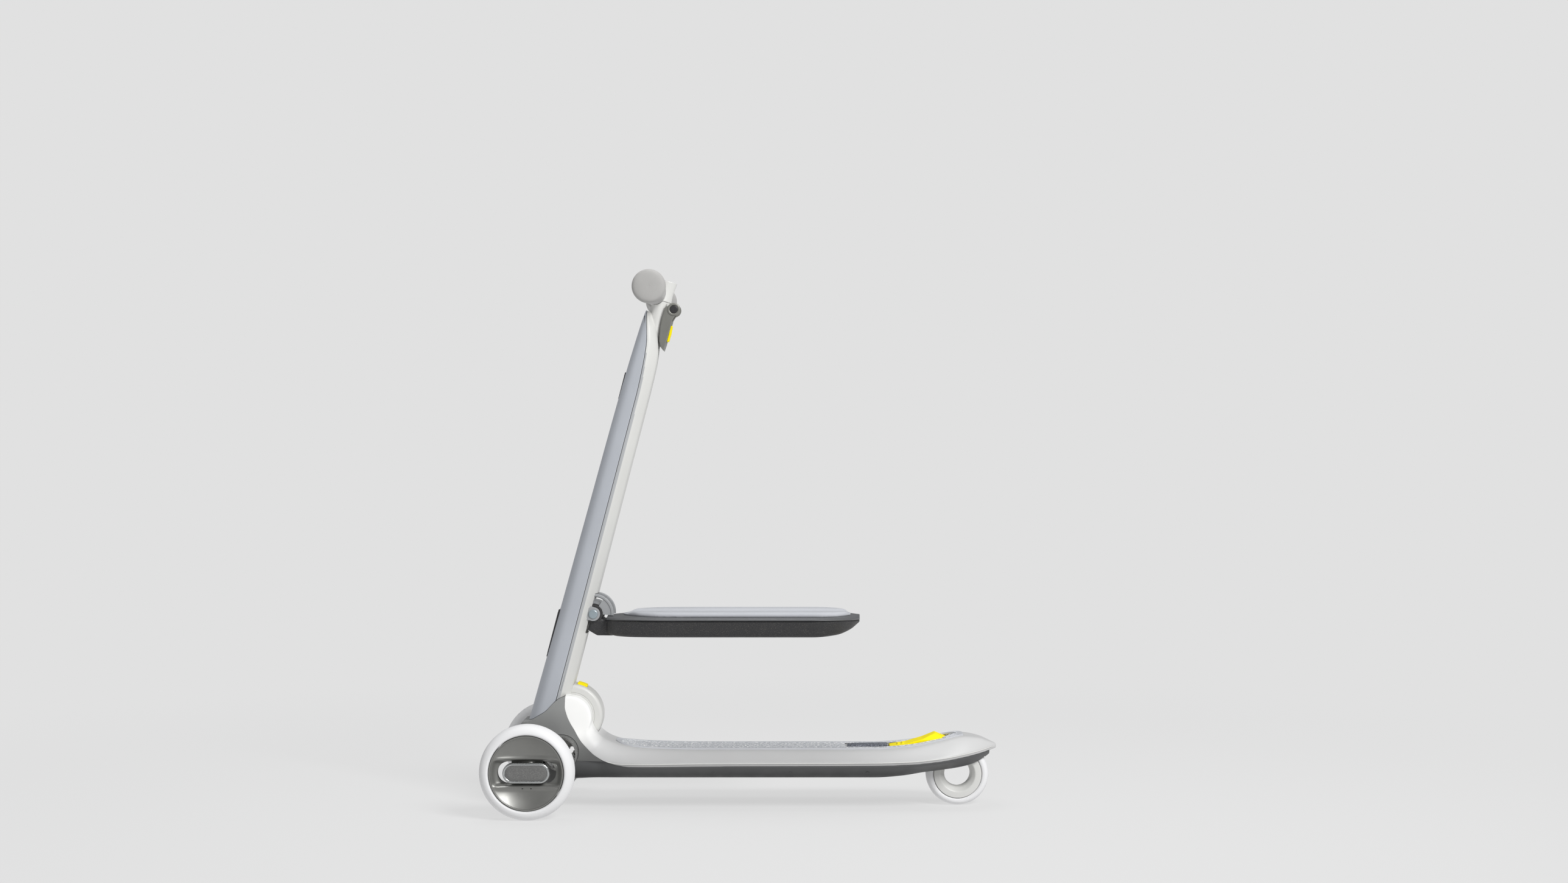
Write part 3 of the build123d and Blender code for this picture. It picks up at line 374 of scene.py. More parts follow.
class Surface:
    """A node material in the making: one principled shader with procedural inputs."""

    def __init__(self, name, rgb, rough, metal=0.0, coat=0.0, sheen=0.0, spec=0.5):
        """Set the values that are the same all over."""
        self.material = bpy.data.materials.new(name)
        self.material.use_nodes = True
        self.nodes = self.material.node_tree.nodes
        self.links = self.material.node_tree.links
        self.shader = fill(self.nodes["Principled BSDF"], {
            "Base Color": colour(rgb), "Roughness": rough, "Metallic": metal, "Coat Weight": coat,
            "Coat Roughness": 0.25, "Sheen Weight": sheen, "Specular IOR Level": spec,
        })
        self.coords = self.nodes.new("ShaderNodeTexCoord")
        self.rgb = rgb
        self.name = name
        self.bump_from = None

    def noise(self, scale, detail=3.0, roughness=0.5):
        """Fractal noise over the object."""
        node = fill(self.nodes.new("ShaderNodeTexNoise"),
                    {"Scale": scale, "Detail": detail, "Roughness": roughness})
        self.links.new(self.coords.outputs["Object"], node.inputs["Vector"])
        return node.outputs["Fac"]

    def cells(self, scale, feature="F1", metric="EUCLIDEAN"):
        """Distances in a cell pattern over the object."""
        node = self.nodes.new("ShaderNodeTexVoronoi")
        node.feature = feature
        if feature != "DISTANCE_TO_EDGE":
            node.distance = metric
        node.inputs["Scale"].default_value = scale
        self.links.new(self.coords.outputs["Object"], node.inputs["Vector"])
        return node.outputs["Distance"]

    def ramp(self, value, low, high, from_rgb, to_rgb):
        """A value turned into a colour between two stops."""
        node = self.nodes.new("ShaderNodeValToRGB")
        node.color_ramp.elements[0].position = low
        node.color_ramp.elements[0].color = from_rgb
        node.color_ramp.elements[1].position = high
        node.color_ramp.elements[1].color = to_rgb
        self.links.new(value, node.inputs["Fac"])
        return node.outputs["Color"]

    def tint(self, value, low, high, dark, pale):
        """Base colour runs between two gains of the surface's own colour."""
        out = self.ramp(value, low, high, colour(self.rgb, dark), colour(self.rgb, pale))
        self.links.new(out, self.shader.inputs["Base Color"])

    def speckle(self, value, low, high, rgb):
        """A second colour where the value is high, over what is already there."""
        mix = self.nodes.new("ShaderNodeMix")
        mix.data_type = "RGBA"
        socket = self.shader.inputs["Base Color"]
        mask = self.ramp(value, low, high, (0, 0, 0, 1), (1, 1, 1, 1))
        if socket.is_linked:
            self.links.new(socket.links[0].from_socket, mix.inputs[6])
        else:
            mix.inputs[6].default_value = socket.default_value
        mix.inputs[7].default_value = colour(rgb)
        self.links.new(mask, mix.inputs[0])
        self.links.new(mix.outputs[2], socket)

    def paint_highlight(self, axis, inner, outer, rgb):
        """Painted highlight: a paler patch round a cross axis, fading with distance."""
        shift = self.nodes.new("ShaderNodeVectorMath")
        shift.operation = "MULTIPLY_ADD"
        shift.inputs[1].default_value = (1, 0, 1)
        shift.inputs[2].default_value = (-axis[0] * MM, 0, -axis[1] * MM)
        length = self.nodes.new("ShaderNodeVectorMath")
        length.operation = "LENGTH"
        self.links.new(self.coords.outputs["Object"], shift.inputs[0])
        self.links.new(shift.outputs[0], length.inputs[0])
        near = fill(self.nodes.new("ShaderNodeMapRange"), {"From Min": outer * MM, "From Max": inner * MM})
        self.links.new(length.outputs["Value"], near.inputs["Value"])
        self.speckle(near.outputs["Result"], 0.0, 1.0, rgb)

    def shade_towards_ground(self, low, high, gain):
        """Painted shade: darker towards the ground, from the surface's own colour down to a share of it."""
        split = self.nodes.new("ShaderNodeSeparateXYZ")
        self.links.new(self.coords.outputs["Object"], split.inputs[0])
        down = fill(self.nodes.new("ShaderNodeMapRange"), {"From Min": high * MM, "From Max": low * MM})
        self.links.new(split.outputs["Z"], down.inputs["Value"])
        mix = self.nodes.new("ShaderNodeMix")
        mix.data_type = "RGBA"
        mix.blend_type = "MULTIPLY"
        socket = self.shader.inputs["Base Color"]
        self.links.new(socket.links[0].from_socket, mix.inputs[6])
        mix.inputs[7].default_value = (gain, gain, gain, 1)
        self.links.new(down.outputs["Result"], mix.inputs[0])
        self.links.new(mix.outputs[2], socket)

    def roughen(self, value, low, high):
        """Gloss that varies with the middle of a value's range."""
        node = fill(self.nodes.new("ShaderNodeMapRange"),
                    {"From Min": 0.3, "From Max": 0.7, "To Min": low, "To Max": high})
        self.links.new(value, node.inputs["Value"])
        self.links.new(node.outputs["Result"], self.shader.inputs["Roughness"])

    def bump(self, value, strength, depth):
        """One more bump on top of those before it, with its depth in millimetres."""
        node = fill(self.nodes.new("ShaderNodeBump"), {"Strength": strength, "Distance": depth * MM})
        self.links.new(value, node.inputs["Height"])
        if self.bump_from:
            self.links.new(self.bump_from, node.inputs["Normal"])
        self.bump_from = node.outputs["Normal"]
        self.links.new(self.bump_from, self.shader.inputs["Normal"])


def moulded(name, rgb, rough, metal=0.0, coat=0.0, grain=1400.0, depth=0.05, drift=0.05, spec=0.5):
    """Moulded or painted part: slow colour drift, fine spark-eroded grain, uneven gloss."""
    surface = Surface(name, rgb, rough, metal, coat, spec=spec)
    surface.tint(surface.noise(14.0, 4.0), 0.3, 0.7, 1 - drift, 1 + drift)
    surface.roughen(surface.noise(60.0, 4.0), rough - 0.06, rough + 0.06)
    surface.bump(surface.noise(grain, 2.0), 0.12, depth * 0.5)
    return surface


def soft(name, rgb, rough, scale, depth, sheen=0.15, drift=0.06):
    """Rubber or foam skin with a leathery pebble."""
    surface = Surface(name, rgb, rough, sheen=sheen)
    surface.tint(surface.noise(22.0, 5.0), 0.3, 0.7, 1 - drift, 1 + drift)
    surface.roughen(surface.noise(90.0, 3.0), rough - 0.08, rough + 0.08)
    surface.bump(surface.cells(scale), 0.35, depth)
    surface.bump(surface.noise(scale * 2.2, 3.0), 0.35, depth * 0.6)
    return surface


def metal(name, rgb, rough, streak=900.0):
    """Bare metal with fine streaks in its gloss."""
    surface = Surface(name, rgb, rough, metal=1.0)
    surface.tint(surface.noise(35.0, 4.0), 0.3, 0.7, 0.92, 1.06)
    surface.roughen(surface.noise(streak, 3.0), rough - 0.08, rough + 0.1)
    surface.bump(surface.noise(streak * 2, 2.0), 0.15, 0.03)
    return surface


def mat_surface(name, rgb, dark, pale, scale):
    """Grip relief: small raised shards with dark lines between, and pale flecks on top as painted glints."""
    surface = Surface(name, rgb, 0.6)
    edges = surface.cells(scale, "DISTANCE_TO_EDGE")
    shards = surface.cells(scale, "F1", "MANHATTAN")
    surface.tint(surface.noise(30.0, 4.0), 0.3, 0.7, 0.95, 1.05)
    surface.speckle(surface.cells(scale * 1.35, "F1", "MANHATTAN"), 0.35, 0.62, dark)
    # Painted highlight: thin pale flecks stand in for glints on the shard tops.
    surface.speckle(surface.noise(scale * 1.7, 1.0), 0.56, 0.64, pale)
    surface.bump(edges, 0.8, 0.5)
    surface.bump(shards, 0.6, 0.4)
    return surface


def build_surfaces():
    """Every material by name."""
    made = [
        moulded("tyre_white", (226, 226, 227), 0.55, grain=900, depth=0.08, drift=0.015),
        moulded("hub_grey", (132, 132, 129), 0.4, metal=0.6, coat=0.05),
        metal("badge_metal", (186, 188, 188), 0.26),
        moulded("badge_panel", (96, 96, 95), 0.5, grain=2600, depth=0.15, drift=0.06),
        metal("bright_steel", (200, 200, 198), 0.22),
        metal("cast_alloy", (120, 120, 118), 0.45),
        moulded("housing_grey", (152, 153, 152), 0.46, metal=0.15, drift=0.04),
        moulded("shell_light", (195, 195, 195), 0.5, coat=0.05, drift=0.012),
        moulded("shell_blue_grey", (184, 188, 195), 0.44, metal=0.1, drift=0.03),
        moulded("stem_light", (208, 208, 205), 0.44, coat=0.08, drift=0.02),
        # The band grey is painted shade for the bevel beside the stem's groove.
        moulded("stem_band", (170, 172, 174), 0.44, metal=0.1, drift=0.03),
        moulded("belly_dark", (80, 81, 82), 0.5, drift=0.05),
        mat_surface("mat_grey", (238, 239, 242), (186, 189, 194), (252, 252, 252), 190.0),
        moulded("mat_border", (186, 188, 192), 0.6, grain=1800, depth=0.1),
        mat_surface("tongue_slate", (118, 123, 133), (80, 84, 93), (150, 154, 164), 420.0),
        moulded("signal_yellow", (255, 234, 0), 0.5, drift=0.02, spec=0.2),
        moulded("tube_paint", (218, 218, 215), 0.36, metal=0.15, coat=0.1, drift=0.02),
        metal("slider_metal", (205, 205, 203), 0.28),
        moulded("lever_grey", (126, 126, 121), 0.4, metal=0.4, coat=0.1),
        soft("grip_rubber", (166, 165, 163), 0.72, 900.0, 0.14),
        moulded("seat_hull", (42, 42, 44), 0.5, grain=2200, depth=0.08, drift=0.08),
        moulded("seat_band", (92, 93, 95), 0.45, metal=0.1, coat=0.1),
        moulded("drum_grey", (158, 160, 162), 0.45, metal=0.1, coat=0.1),
        soft("seat_foam", (182, 184, 189), 0.75, 1100.0, 0.05, 0.05, 0.02),
        moulded("lamp_lens", (228, 232, 236), 0.12, coat=0.6, drift=0.02),
        moulded("lamp_black", (42, 42, 44), 0.4),
        moulded("circuit_green", (40, 92, 60), 0.5, drift=0.15),
        moulded("cell_wrap", (60, 100, 160), 0.35, drift=0.05),
        moulded("case_black", (46, 46, 48), 0.5),
        metal("lamination", (140, 138, 134), 0.5),
        metal("winding_copper", (190, 110, 66), 0.35),
        moulded("pin_cap", (150, 162, 168), 0.35, metal=0.3, coat=0.2),
        moulded("dark_line", (58, 58, 58), 0.6),
    ]
    s = {surface.name: surface for surface in made}
    # Painted highlight: the cheek discs round the fold axis pale towards white, standing in for the key
    # light's highlight there.
    s["shell_light"].paint_highlight((FOLD_X, FOLD_Z), 24.0, 52.0, (255, 255, 253))
    # Painted shade: the deck shell's side darkens towards its lip, and the housing and the belly darken
    # towards the ground.
    s["shell_light"].shade_towards_ground(56.0, 73.0, 0.78)
    s["housing_grey"].shade_towards_ground(52.0, 130.0, 0.36)
    s["belly_dark"].shade_towards_ground(43.0, 58.0, 0.24)
    s["seat_hull"].speckle(s["seat_hull"].noise(1500.0, 1.0), 0.62, 0.7, (104, 100, 94))
    s["badge_panel"].speckle(s["badge_panel"].noise(2400.0, 1.0), 0.58, 0.66, (142, 142, 140))
    return {name: surface.material for name, surface in s.items()}


SURFACES = build_surfaces()


def dress_nodes():
    """Every CAD node takes the procedural finish of its record slot."""
    for node in NODES.values():
        for place in node.material_slots:
            place.material = SURFACES[place.material.name.split(".")[0]]


# ------------------------------------------------------------------ front wheels
def stadium(half_length, half_height, steps=24):
    """Points round a slot with round ends, from its half sizes."""
    straight = half_length - half_height
    out = []
    for side, first in ((1, -90), (-1, 90)):
        for k in range(steps + 1):
            a = radians(first + 180 * k / steps)
            out.append((side * straight + half_height * cos(a), half_height * sin(a)))
    return out


def hub_dish(x, z):
    """How far the hub's face stands out at a point, measured from its centre."""
    r = sqrt(x * x + z * z)
    bowl = 1.5 + 11.5 * min(1.0, r / 45.4) ** 2.6
    if r > 45.0:
        return 14.2
    edge = 1 / (1 + exp((abs(z) - 15.2) / 0.55))
    fade = 1 / (1 + exp((r - 42.5) / 1.2))
    return bowl - 3.6 * edge * fade + 2.4 * exp(-((abs(z) - 17.0) / 3.4) ** 2) * fade


def badge_plate(name, centre, side, levels):
    """A plate on the hub's face; each level is an inset and how far it stands out."""
    return loft(name, [
        [(centre[0] + x, centre[1] + side * w, centre[2] + z)
         for x, z in stadium(BADGE_LENGTH - inset, BADGE_HEIGHT - inset)]
        for inset, w in levels
    ])


def front_wheel(label, side):
    """Tyre, slotted hub and badge of one front wheel."""
    body = f"front_wheel_{label}"
    centre = (WHEEL_X, side * TRACK_HALF, WHEEL_R)
    points = [
        (47.5, -14), (47.5, 13.4), (48.4, 15.4), (50.4, 16), (54.8, 14.2), (58.3, 10.2), (60, 5.2),
        (59.1, 4.5), (60, 3.8), (60, -3.8), (59.1, -4.5), (60, -5.2), (59.2, -9.4), (56.4, -13.9),
        (52.4, -16), (49, -15.4),
    ]
    radii = [0.5, 1.0, 1.2, 2.4, 3.0, 2.5, 0.6, 0.4, 0.6, 0.6, 0.4, 0.6, 2.5, 3.0, 3.0, 1.0]
    tyre = lathe(f"front_tyre_skin_{label}", rounded(points, radii, 4), centre, side, 192)
    settle(tyre, body, "tyre_white", 40, [f"front_tyre_{label}"])

    rings = [44.9 * k / 56 for k in range(1, 57)] + [45.1, *HUB_LIP]
    steps = 192
    front, back = [], []
    for r in rings:
        for k in range(steps):
            a = 2 * pi * k / steps
            x, z = r * cos(a), r * sin(a)
            front.append(Vector((x, side * HUB_LIP.get(r, hub_dish(x, z)), z)) + Vector(centre))
            back.append(Vector((x, side * (-4.0 - 9.0 * max(0.0, (r - 38) / 9)), z)) + Vector(centre))
    rows = len(rings)
    points = front + back
    points.append(Vector((0, side * hub_dish(0, 0), 0)) + Vector(centre))
    points.append(Vector((0, side * -4.0, 0)) + Vector(centre))
    faces = []
    for half, hub_point in ((0, 2 * rows * steps), (rows * steps, 2 * rows * steps + 1)):
        for k in range(steps):
            n = (k + 1) % steps
            faces.append((hub_point, half + k, half + n))
            for row in range(rows - 1):
                a = half + row * steps
                faces.append((a + k, a + n, a + steps + n, a + steps + k))
    last = (rows - 1) * steps
    for k in range(steps):
        n = (k + 1) % steps
        faces.append((last + k, last + n, rows * steps + last + n, rows * steps + last + k))
    hub = make(f"hub_dish_{label}", points, faces)
    for way in (-1, 1):
        end = [p for p in stadium(SLOT_LENGTH, SLOT_HEIGHT) if way * p[0] > 23.3]
        end = sorted(end, key=lambda p: atan2(p[1], way * (p[0] - way * 23.2)))
        outline = [(way * 19.5, -SLOT_HEIGHT)] + end + [(way * 19.5, SLOT_HEIGHT)]
        outline = [(x + centre[0], z + centre[2]) for x, z in outline]
        cut(hub, prism("hole", outline, centre[1] - 30, centre[1] + 30))
    settle(hub, body, "hub_grey", 38, [f"front_hub_{label}"])
    for x in (-5.4, 5.4):
        dot = lathe(f"hub_dot_{label}_{'a' if x < 0 else 'b'}", [(0, 0), (1.0, 0), (1.0, 0.5), (0, 0.5)],
                    (centre[0] + x, centre[1] + side * (hub_dish(x, -20) - 0.3), centre[2] - 20), side, 20)
        settle(dot, body, "lamp_black", look="dark_line")

    levels = [(0.0, 6.0), (0.0, 11.3), (0.35, 12.1), (1.1, 12.6), (2.3, 12.6), (3.0, 12.2), (3.35, 11.4)]
    ring = badge_plate(f"badge_ring_{label}", centre, side, levels)
    settle(ring, body, "badge_metal", 40, [f"wheel_badge_{label}"])
    levels = [(3.5, 11.0), (3.5, 11.9), (3.9, 12.15), (7.0, 12.3), (9.0, 12.35)]
    panel = badge_plate(f"badge_face_{label}", centre, side, levels)
    settle(panel, body, "badge_panel", 40, [f"wheel_badge_panel_{label}"])


# ------------------------------------------------------------------ deck
def wrap_edge():
    """The edge where the deck shell wraps the housing, from the top down."""
    rows = smooth(sorted((z, x) for x, z in WRAP), np.linspace(WRAP[-1][1], WRAP[0][1], 40))
    return [(float(x), float(z)) for z, x in reversed(rows)]


def wrap_front():
    """Everything in front of that edge."""
    around = [(-130, 20), (-330, 20), (-330, 170), (JOIN_X, 170)]
    return prism("wrap_front", wrap_edge() + LOWER_EDGE[1:] + around, -FAR, FAR)


def deck_shell():
    """Upper shell from the fold joint to the tail, in one skin."""
    rings = []
    for x, half, rim_z, flat, top in stations(NECK + DECK[1:], NECK[0][0], DECK[-1][0], 3.5):
        shoulder = (flat + 0.5 * (half - flat), top - 0.40 * (top - rim_z))
        rings.append(section(x, [(flat, top), shoulder, (half, rim_z), (half - 1.5, rim_z - LIP)],
                             [7.0, 9.0, 1.6, 0.8], 5))
    body = loft("deck_body", rings)
    discs = [rod("disc", CHEEK_R + 0.6, FOLD_X, FOLD_Z, low, high)
             for low, high in ((-CHEEK_HALF, -20.4), (20.4, CHEEK_HALF))]
    shell = fuse(join("deck_shell", [body] + discs), 1.3, 12)
    cut(
        shell, wrap_front(),
        rod("room", BARREL_R + 0.5, FOLD_X, FOLD_Z, -20.6, 20.6),
        rod("well", WELL_R, REAR_X, REAR_R, -WELL_HALF, WELL_HALF),
        brick("pocket", PEDAL_X - 5, 268.5, -PEDAL_HALF - 0.6, PEDAL_HALF + 0.6, 69.5, 110),
        brick("under", -178, 250, -55, 55, 40, 60.5),
    )
    settle(shell, "deck", "shell_light", 30, ["deck_upper_shell"])


def rim_line():
    """Thin bead along the deck's rim in a paler grey than the shell, as a painted highlight on the rim's
    edge.
    """
    for label, side in SIDES:
        path = [(x, side * (half - 0.1), rim_z - 0.3)
                for x, half, rim_z, _, _ in stations(DECK, -178, 326, 4.0)]
        settle(sweep(f"rim_bead_{label}", path, 0.6), "deck", "shell_light", 60, look="stem_light")


def sweep(name, path, radius, sides=8):
    """A thin round bead along a path."""
    points = [Vector(p) for p in path]
    rings = []
    for i, p in enumerate(points):
        along = (points[min(i + 1, len(points) - 1)] - points[max(i - 1, 0)]).normalized()
        across = along.cross(Vector((0, 0, 1))).normalized()
        over = across.cross(along)
        rings.append([p + (across * cos(2 * pi * k / sides) + over * sin(2 * pi * k / sides)) * radius
                      for k in range(sides)])
    return loft(name, rings)


def belly():
    """Lower shell from the housing to the tail."""
    rings = []
    at = [-219] + list(np.arange(-215, 322.1, 4.0))
    rim = smooth(DECK, np.maximum(at, -186))
    low = smooth(BELLY, at)
    for x, deck_row, belly_row in zip(at, rim, low):
        wide, top = deck_row[1] - 2.0, deck_row[2] - LIP
        if x < -186:
            wide, top = 50 + 4 * (x + 186) / 33, 62.5
        elif x < -130:
            top = max(top, min(62.5, np.interp(x, *np.array(LOWER_EDGE).T) - 0.4))
        half = [(wide, top + 0.2), (wide - 0.6, top - 2.0), (belly_row[1], belly_row[2])]
        rings.append(section(x, half, [0.4, 2.0, 9.0], 6))
    tray = loft("belly_tray", rings)
    cut(
        tray,
        rod("well", WELL_R, REAR_X, REAR_R, -WELL_HALF, WELL_HALF),
        rod("collar_room", COLLAR_R + 0.3, COLLAR_X, COLLAR_Z, -70, 70),
        rod("barrel_room", BARREL_R + 0.6, FOLD_X, FOLD_Z, -20.4, 20.4),
    )
    settle(tray, "deck", "belly_dark", 30, ["deck_lower_shell"])


def screws():
    """Flush plugs over the belly screws, and the bolts of the rear wheel's ring."""
    plugs = []
    for x in SCREW_XS:
        for side in (-1, 1):
            seat_of, slope = Vector((x, side * SCREW_Y, 48.2)), radians(40.8)
            up, out = Vector((0, side * cos(slope), sin(slope))), Vector((0, side * sin(slope), -cos(slope)))
            plugs.append(loft("plug", [
                [seat_of + out * lift + (Vector((1, 0, 0)) * cos(pi * k / 16) + up * sin(pi * k / 16)) * r
                 for k in range(32)]
                for lift, r in ((-6.0, 2.4), (-0.1, 2.4), (0.1, 2.1))
            ]))
    settle(join("screw_plugs", plugs), "deck", "belly_dark", 30)
    pieces = [post(x, y, 1.6, 54.5, 60.0) for x in SCREW_XS for y in (-SCREW_Y, SCREW_Y)]
    for x in (-7, 7):
        for side in (-1, 1):
            for r, low, high in ((1.6, 14.6, 20.2), (2.8, 20.0, 22.0)):
                span = sorted((side * low, side * high))
                pieces.append(rod("bolt", r, REAR_X + x, REAR_R + 22.5, *span, 24))
    settle(join("screws_skin", pieces), "deck", "bright_steel", 30, ["screws"])


def deck_height(x):
    """Height of the deck's flat top."""
    return float(smooth(DECK, [x])[0][4])


def mat():
    """Grip mat: plain border, relief field and three ripples near the tail."""
    rings, inner = [], []
    for x, half in stations(MAT, MAT[0][0], MAT[-1][0], 3.5):
        top = deck_height(x)
        edge = [(half - 4.6, top + 1.1), (half - 4.0, top + 1.7), (half - 1.0, top + 1.7),
                (half, top + 0.4), (half, top - 1.2)]
        rings.append(section(x, edge, [0.3, 0.5, 0.8, 0.5, 0.1], 3))
        if -164 <= x <= 283:
            field = max(1.0, half - 4.7)
            inner.append([(x, field, top + 1.25), (x, -field, top + 1.25), (x, -field, top + 0.2),
                          (x, field, top + 0.2)])
    border = loft("mat_border", rings)
    pocket = (PEDAL_X - 61.5, 271.5, -PEDAL_HALF - 0.9, PEDAL_HALF + 0.9, 60, 110)
    cut(border, brick("pocket", *pocket))
    settle(border, "deck", "mat_grey", 30, ["deck_mat"], look="mat_border")
    field = loft("mat_field", inner)
    cut(field, brick("pocket", *pocket))
    settle(field, "deck", "mat_grey", 30)
    for n, radius in enumerate((20.5, 24.5, 28.5)):
        path = []
        for k in range(41):
            a = radians(-62 + 124 * k / 40)
            x, y = 250 + radius * cos(a), radius * sin(a) * 0.82
            path.append((x, y, deck_height(x) + 1.5))
        ripple = sweep(f"mat_ripple_{n}", path, 0.75)
        settle(ripple, "deck", "mat_grey", 60, look="mat_border")


def housing():
    """Front housing, trimmed to the seam and to the deck shell's edge."""
    outline = [(-205, 37), (-240, 33), (-262, 30.5), (-284, 38), (-298, 56), (-302, 78), (-296, 96),
               (-286, 118), (-262, 150), (-215, 156), (-180, 150), (-180, 37)]
    body = prism("housing", rounded(outline, [8, 14, 14, 14, 14, 14, 14, 8, 3, 3, 3, 3], 5), -58, 58)
    nose = [(-306, 8), (-302, 20), (-290, 32), (-268, 41), (-245, 44.8), (-215, 46), (-195, 50), (-172, 56)]
    plan = [(x, y, 0) for x, y in nose] + [(x, -y, 0) for x, y in reversed(nose)]
    plan = rounded(plan, [9, 9, 12, 14, 12, 9, 9, 1, 1, 9, 9, 12, 14, 12, 9, 9], 5)
    combine(body, loft("plan", [[p + Vector((0, 0, z)) for p in plan] for z in (20, 170)]), "INTERSECT")
    fuse(body, 1.3, 12)
    behind = [(-220, 20), (-220, 62.8), (-181.2, 62.8)] + list(reversed(wrap_edge())) + [
        (JOIN_X, 175), (-150, 175), (-150, 20)]
    above = [(x, z - 0.5) for x, z in seam_edge()] + [(JOIN_X + 0.1, 175), (-330, 175), (-330, 110)]
    cut(
        body,
        prism("behind", [(x - 0.15, z) for x, z in behind], -FAR, FAR),
        prism("above", above, -FAR, FAR),
        rod("bore", 19.6, COLLAR_X, COLLAR_Z, -FAR, FAR),
        rod("seat_a", COLLAR_R + 0.3, COLLAR_X, COLLAR_Z, 30, FAR),
        rod("seat_b", COLLAR_R + 0.3, COLLAR_X, COLLAR_Z, -FAR, -30),
        rod("barrel_room", BARREL_R + 0.6, FOLD_X, FOLD_Z, -20.4, 20.4),
        rod("beam_room", 15.0, TRUCK_X, TRUCK_Z, -FAR, FAR),
    )
    settle(body, "deck", "housing_grey", 30, ["front_housing"])


# ------------------------------------------------------------------ rear wheel and brake
def rear_wheel():
    """Rear tyre and the cone that carries it."""
    centre = (REAR_X, 0, REAR_R)
    points = [
        (31.6, -13.6), (31.6, 13.6), (33, 14.9), (36.4, 15), (39.6, 12), (41, 6.4), (41, 2.2), (40.3, 1.6),
        (40.3, -1.6), (41, -2.2), (41, -6.4), (39.6, -12), (36.4, -15), (33, -14.9),
    ]
    radii = [0.5, 0.5, 1.0, 2.5, 2.5, 2.0, 0.3, 0.3, 0.3, 0.3, 2.0, 2.5, 2.5, 1.0]
    tyre = lathe("rear_tyre_skin", rounded(points, radii, 4), centre, 1, 160)
    settle(tyre, "rear_wheel", "tyre_white", 40, ["rear_tyre"])
    points = [
        (17, -7), (18.2, -10.5), (23, -15.6), (31.1, -15.2), (31.1, -13.6), (21, -13.6), (21, 13.6),
        (31.1, 13.6), (31.1, 15.2), (23, 15.6), (18.2, 10.5), (17, 7),
    ]
    radii = [1.5, 3, 1.2, 0.5, 0.2, 0.2, 0.2, 0.2, 0.5, 1.2, 3, 1.5]
    cone = lathe("wheel_cone", rounded(points, radii, 4), centre, 1, 160)
    settle(cone, "deck", "housing_grey", 40, ["wheel_carrier", "retaining_ring"], look="stem_light")


def soften(node, body, slot, voxel, rounds, look=None):
    """The node's own shape with its edges eased."""
    piece = fuse(copy_of(node, f"{node}_skin"), voxel, rounds)
    settle(piece, body, slot, replaces=[node], look=look)


# ------------------------------------------------------------------ stem
def seam_edge():
    """The seam between the stem and the housing, from the front to the rear."""
    return [(float(x), float(z)) for x, z in stations(SEAM, SEAM[0][0], SEAM[-1][0], 1.5)]


def below_seam():
    """Everything below the seam."""
    return prism("below", seam_edge() + [(-150, JOIN_Z), (-150, 20), (-330, 20), (-330, 110)], -FAR, FAR)


def stem_groove(point):
    """How far back the groove between the two shells lies at a point's height on the stem."""
    up = (point / MM - STEM_AT).dot(STEM_UP)
    return float(smooth(STEM_BODY, [up])[0][2])


def drum_room():
    """Room in the stem for the seat's hinge."""
    return rod("drum_room", DRUM_ROOM_R, SEAT_HINGE_X, SEAT_HINGE_Z, -DRUM_ROOM_HALF, DRUM_ROOM_HALF)


def stem_shells():
    """Front and rear shells of the stem, the rear shell's darker band beside the groove as painted shade on
    its bevel, and the dark joint between them.
    """
    front, rear = [], []
    for s, f, g, r, w in stations(STEM_BODY, STEM_BODY[0][0], STEM_BODY[-1][0], 4.5):
        shoulder = f + 0.35 * (g - f)
        half = [(f, 0.42 * w), (shoulder, 0.86 * w), (g - 0.3, w)]
        outline = half + [(x, -y) for x, y in reversed(half)]
        ring = rounded(outline, [9, 11, 0.8, 0.8, 11, 9], 6)
        front.append([stem_point(p[0], p[1], s) for p in ring])
        deep = r - g
        half = [(g + 0.3, 0.985 * w - 0.5), (g + 0.27 * deep, 0.955 * w), (g + 0.55 * deep, 0.81 * w),
                (r, 0.5 * w)]
        outline = half + [(x, -y) for x, y in reversed(half)]
        ring = rounded(outline, [0.6, 2.2, 2.5, 4, 4, 2.5, 2.2, 0.6], 5)
        rear.append([stem_point(p[0], p[1], s) for p in ring])
    shells = []
    for name, rings in (("stem_front_skin", front), ("stem_rear_skin", rear)):
        shell = loft(name, rings)
        cut(
            shell, below_seam(), rod("cheeks", CHEEK_R + 0.9, FOLD_X, FOLD_Z, -FAR, FAR),
            rod("barrel", BARREL_R + 0.3, FOLD_X, FOLD_Z, -20.3, 20.3),
        )
        shells.append(shell)
    light = [stem_point(b, 0, u) for b, u in ((-40, -478.4), (-22, -478.4), (-22, -414.6), (-40, -414.6))]
    cut(shells[0], prism("light_room", [(p.x, p.z) for p in light], -14.3, 14.3))
    cut(shells[0], drum_room())
    cut(shells[1], drum_room(), rod("ears", 9.6, SEAT_HINGE_X, SEAT_HINGE_Z, -27, 27))
    settle(shells[0], "stem", "shell_blue_grey", 28, ["stem_front_shell"])
    rear = settle(shells[1], "stem", "shell_light", 28, ["stem_rear_shell"], look="stem_light")
    # Painted shade: the rear shell's faces beside the groove take the darker band grey, widening lower down,
    # to stand for the shade on that bevel.
    rear.data.materials.append(SURFACES["stem_band"])
    for face in rear.data.polygons:
        at = face.center / MM - STEM_AT
        reach = 4.1 * min(1.0, max(0.0, (-30.0 - at.dot(STEM_UP)) / 70.0))
        if at.dot(STEM_BACK) < stem_groove(face.center) + reach:
            face.material_index = 1
    core = []
    for s, _, g, _, w in stations(STEM_BODY, -570, -14, 8.0):
        core.append([stem_point(b, a, s) for b, a in ((g - 3, w - 1.6), (g + 3, w - 1.6), (g + 3, 1.6 - w),
                                                      (g - 3, 1.6 - w))])
    seam = loft("stem_seam", core)
    cut(seam, below_seam(), rod("cheeks", CHEEK_R + 9, FOLD_X, FOLD_Z, -FAR, FAR), drum_room())
    settle(seam, "stem", "shell_blue_grey", look="dark_line")


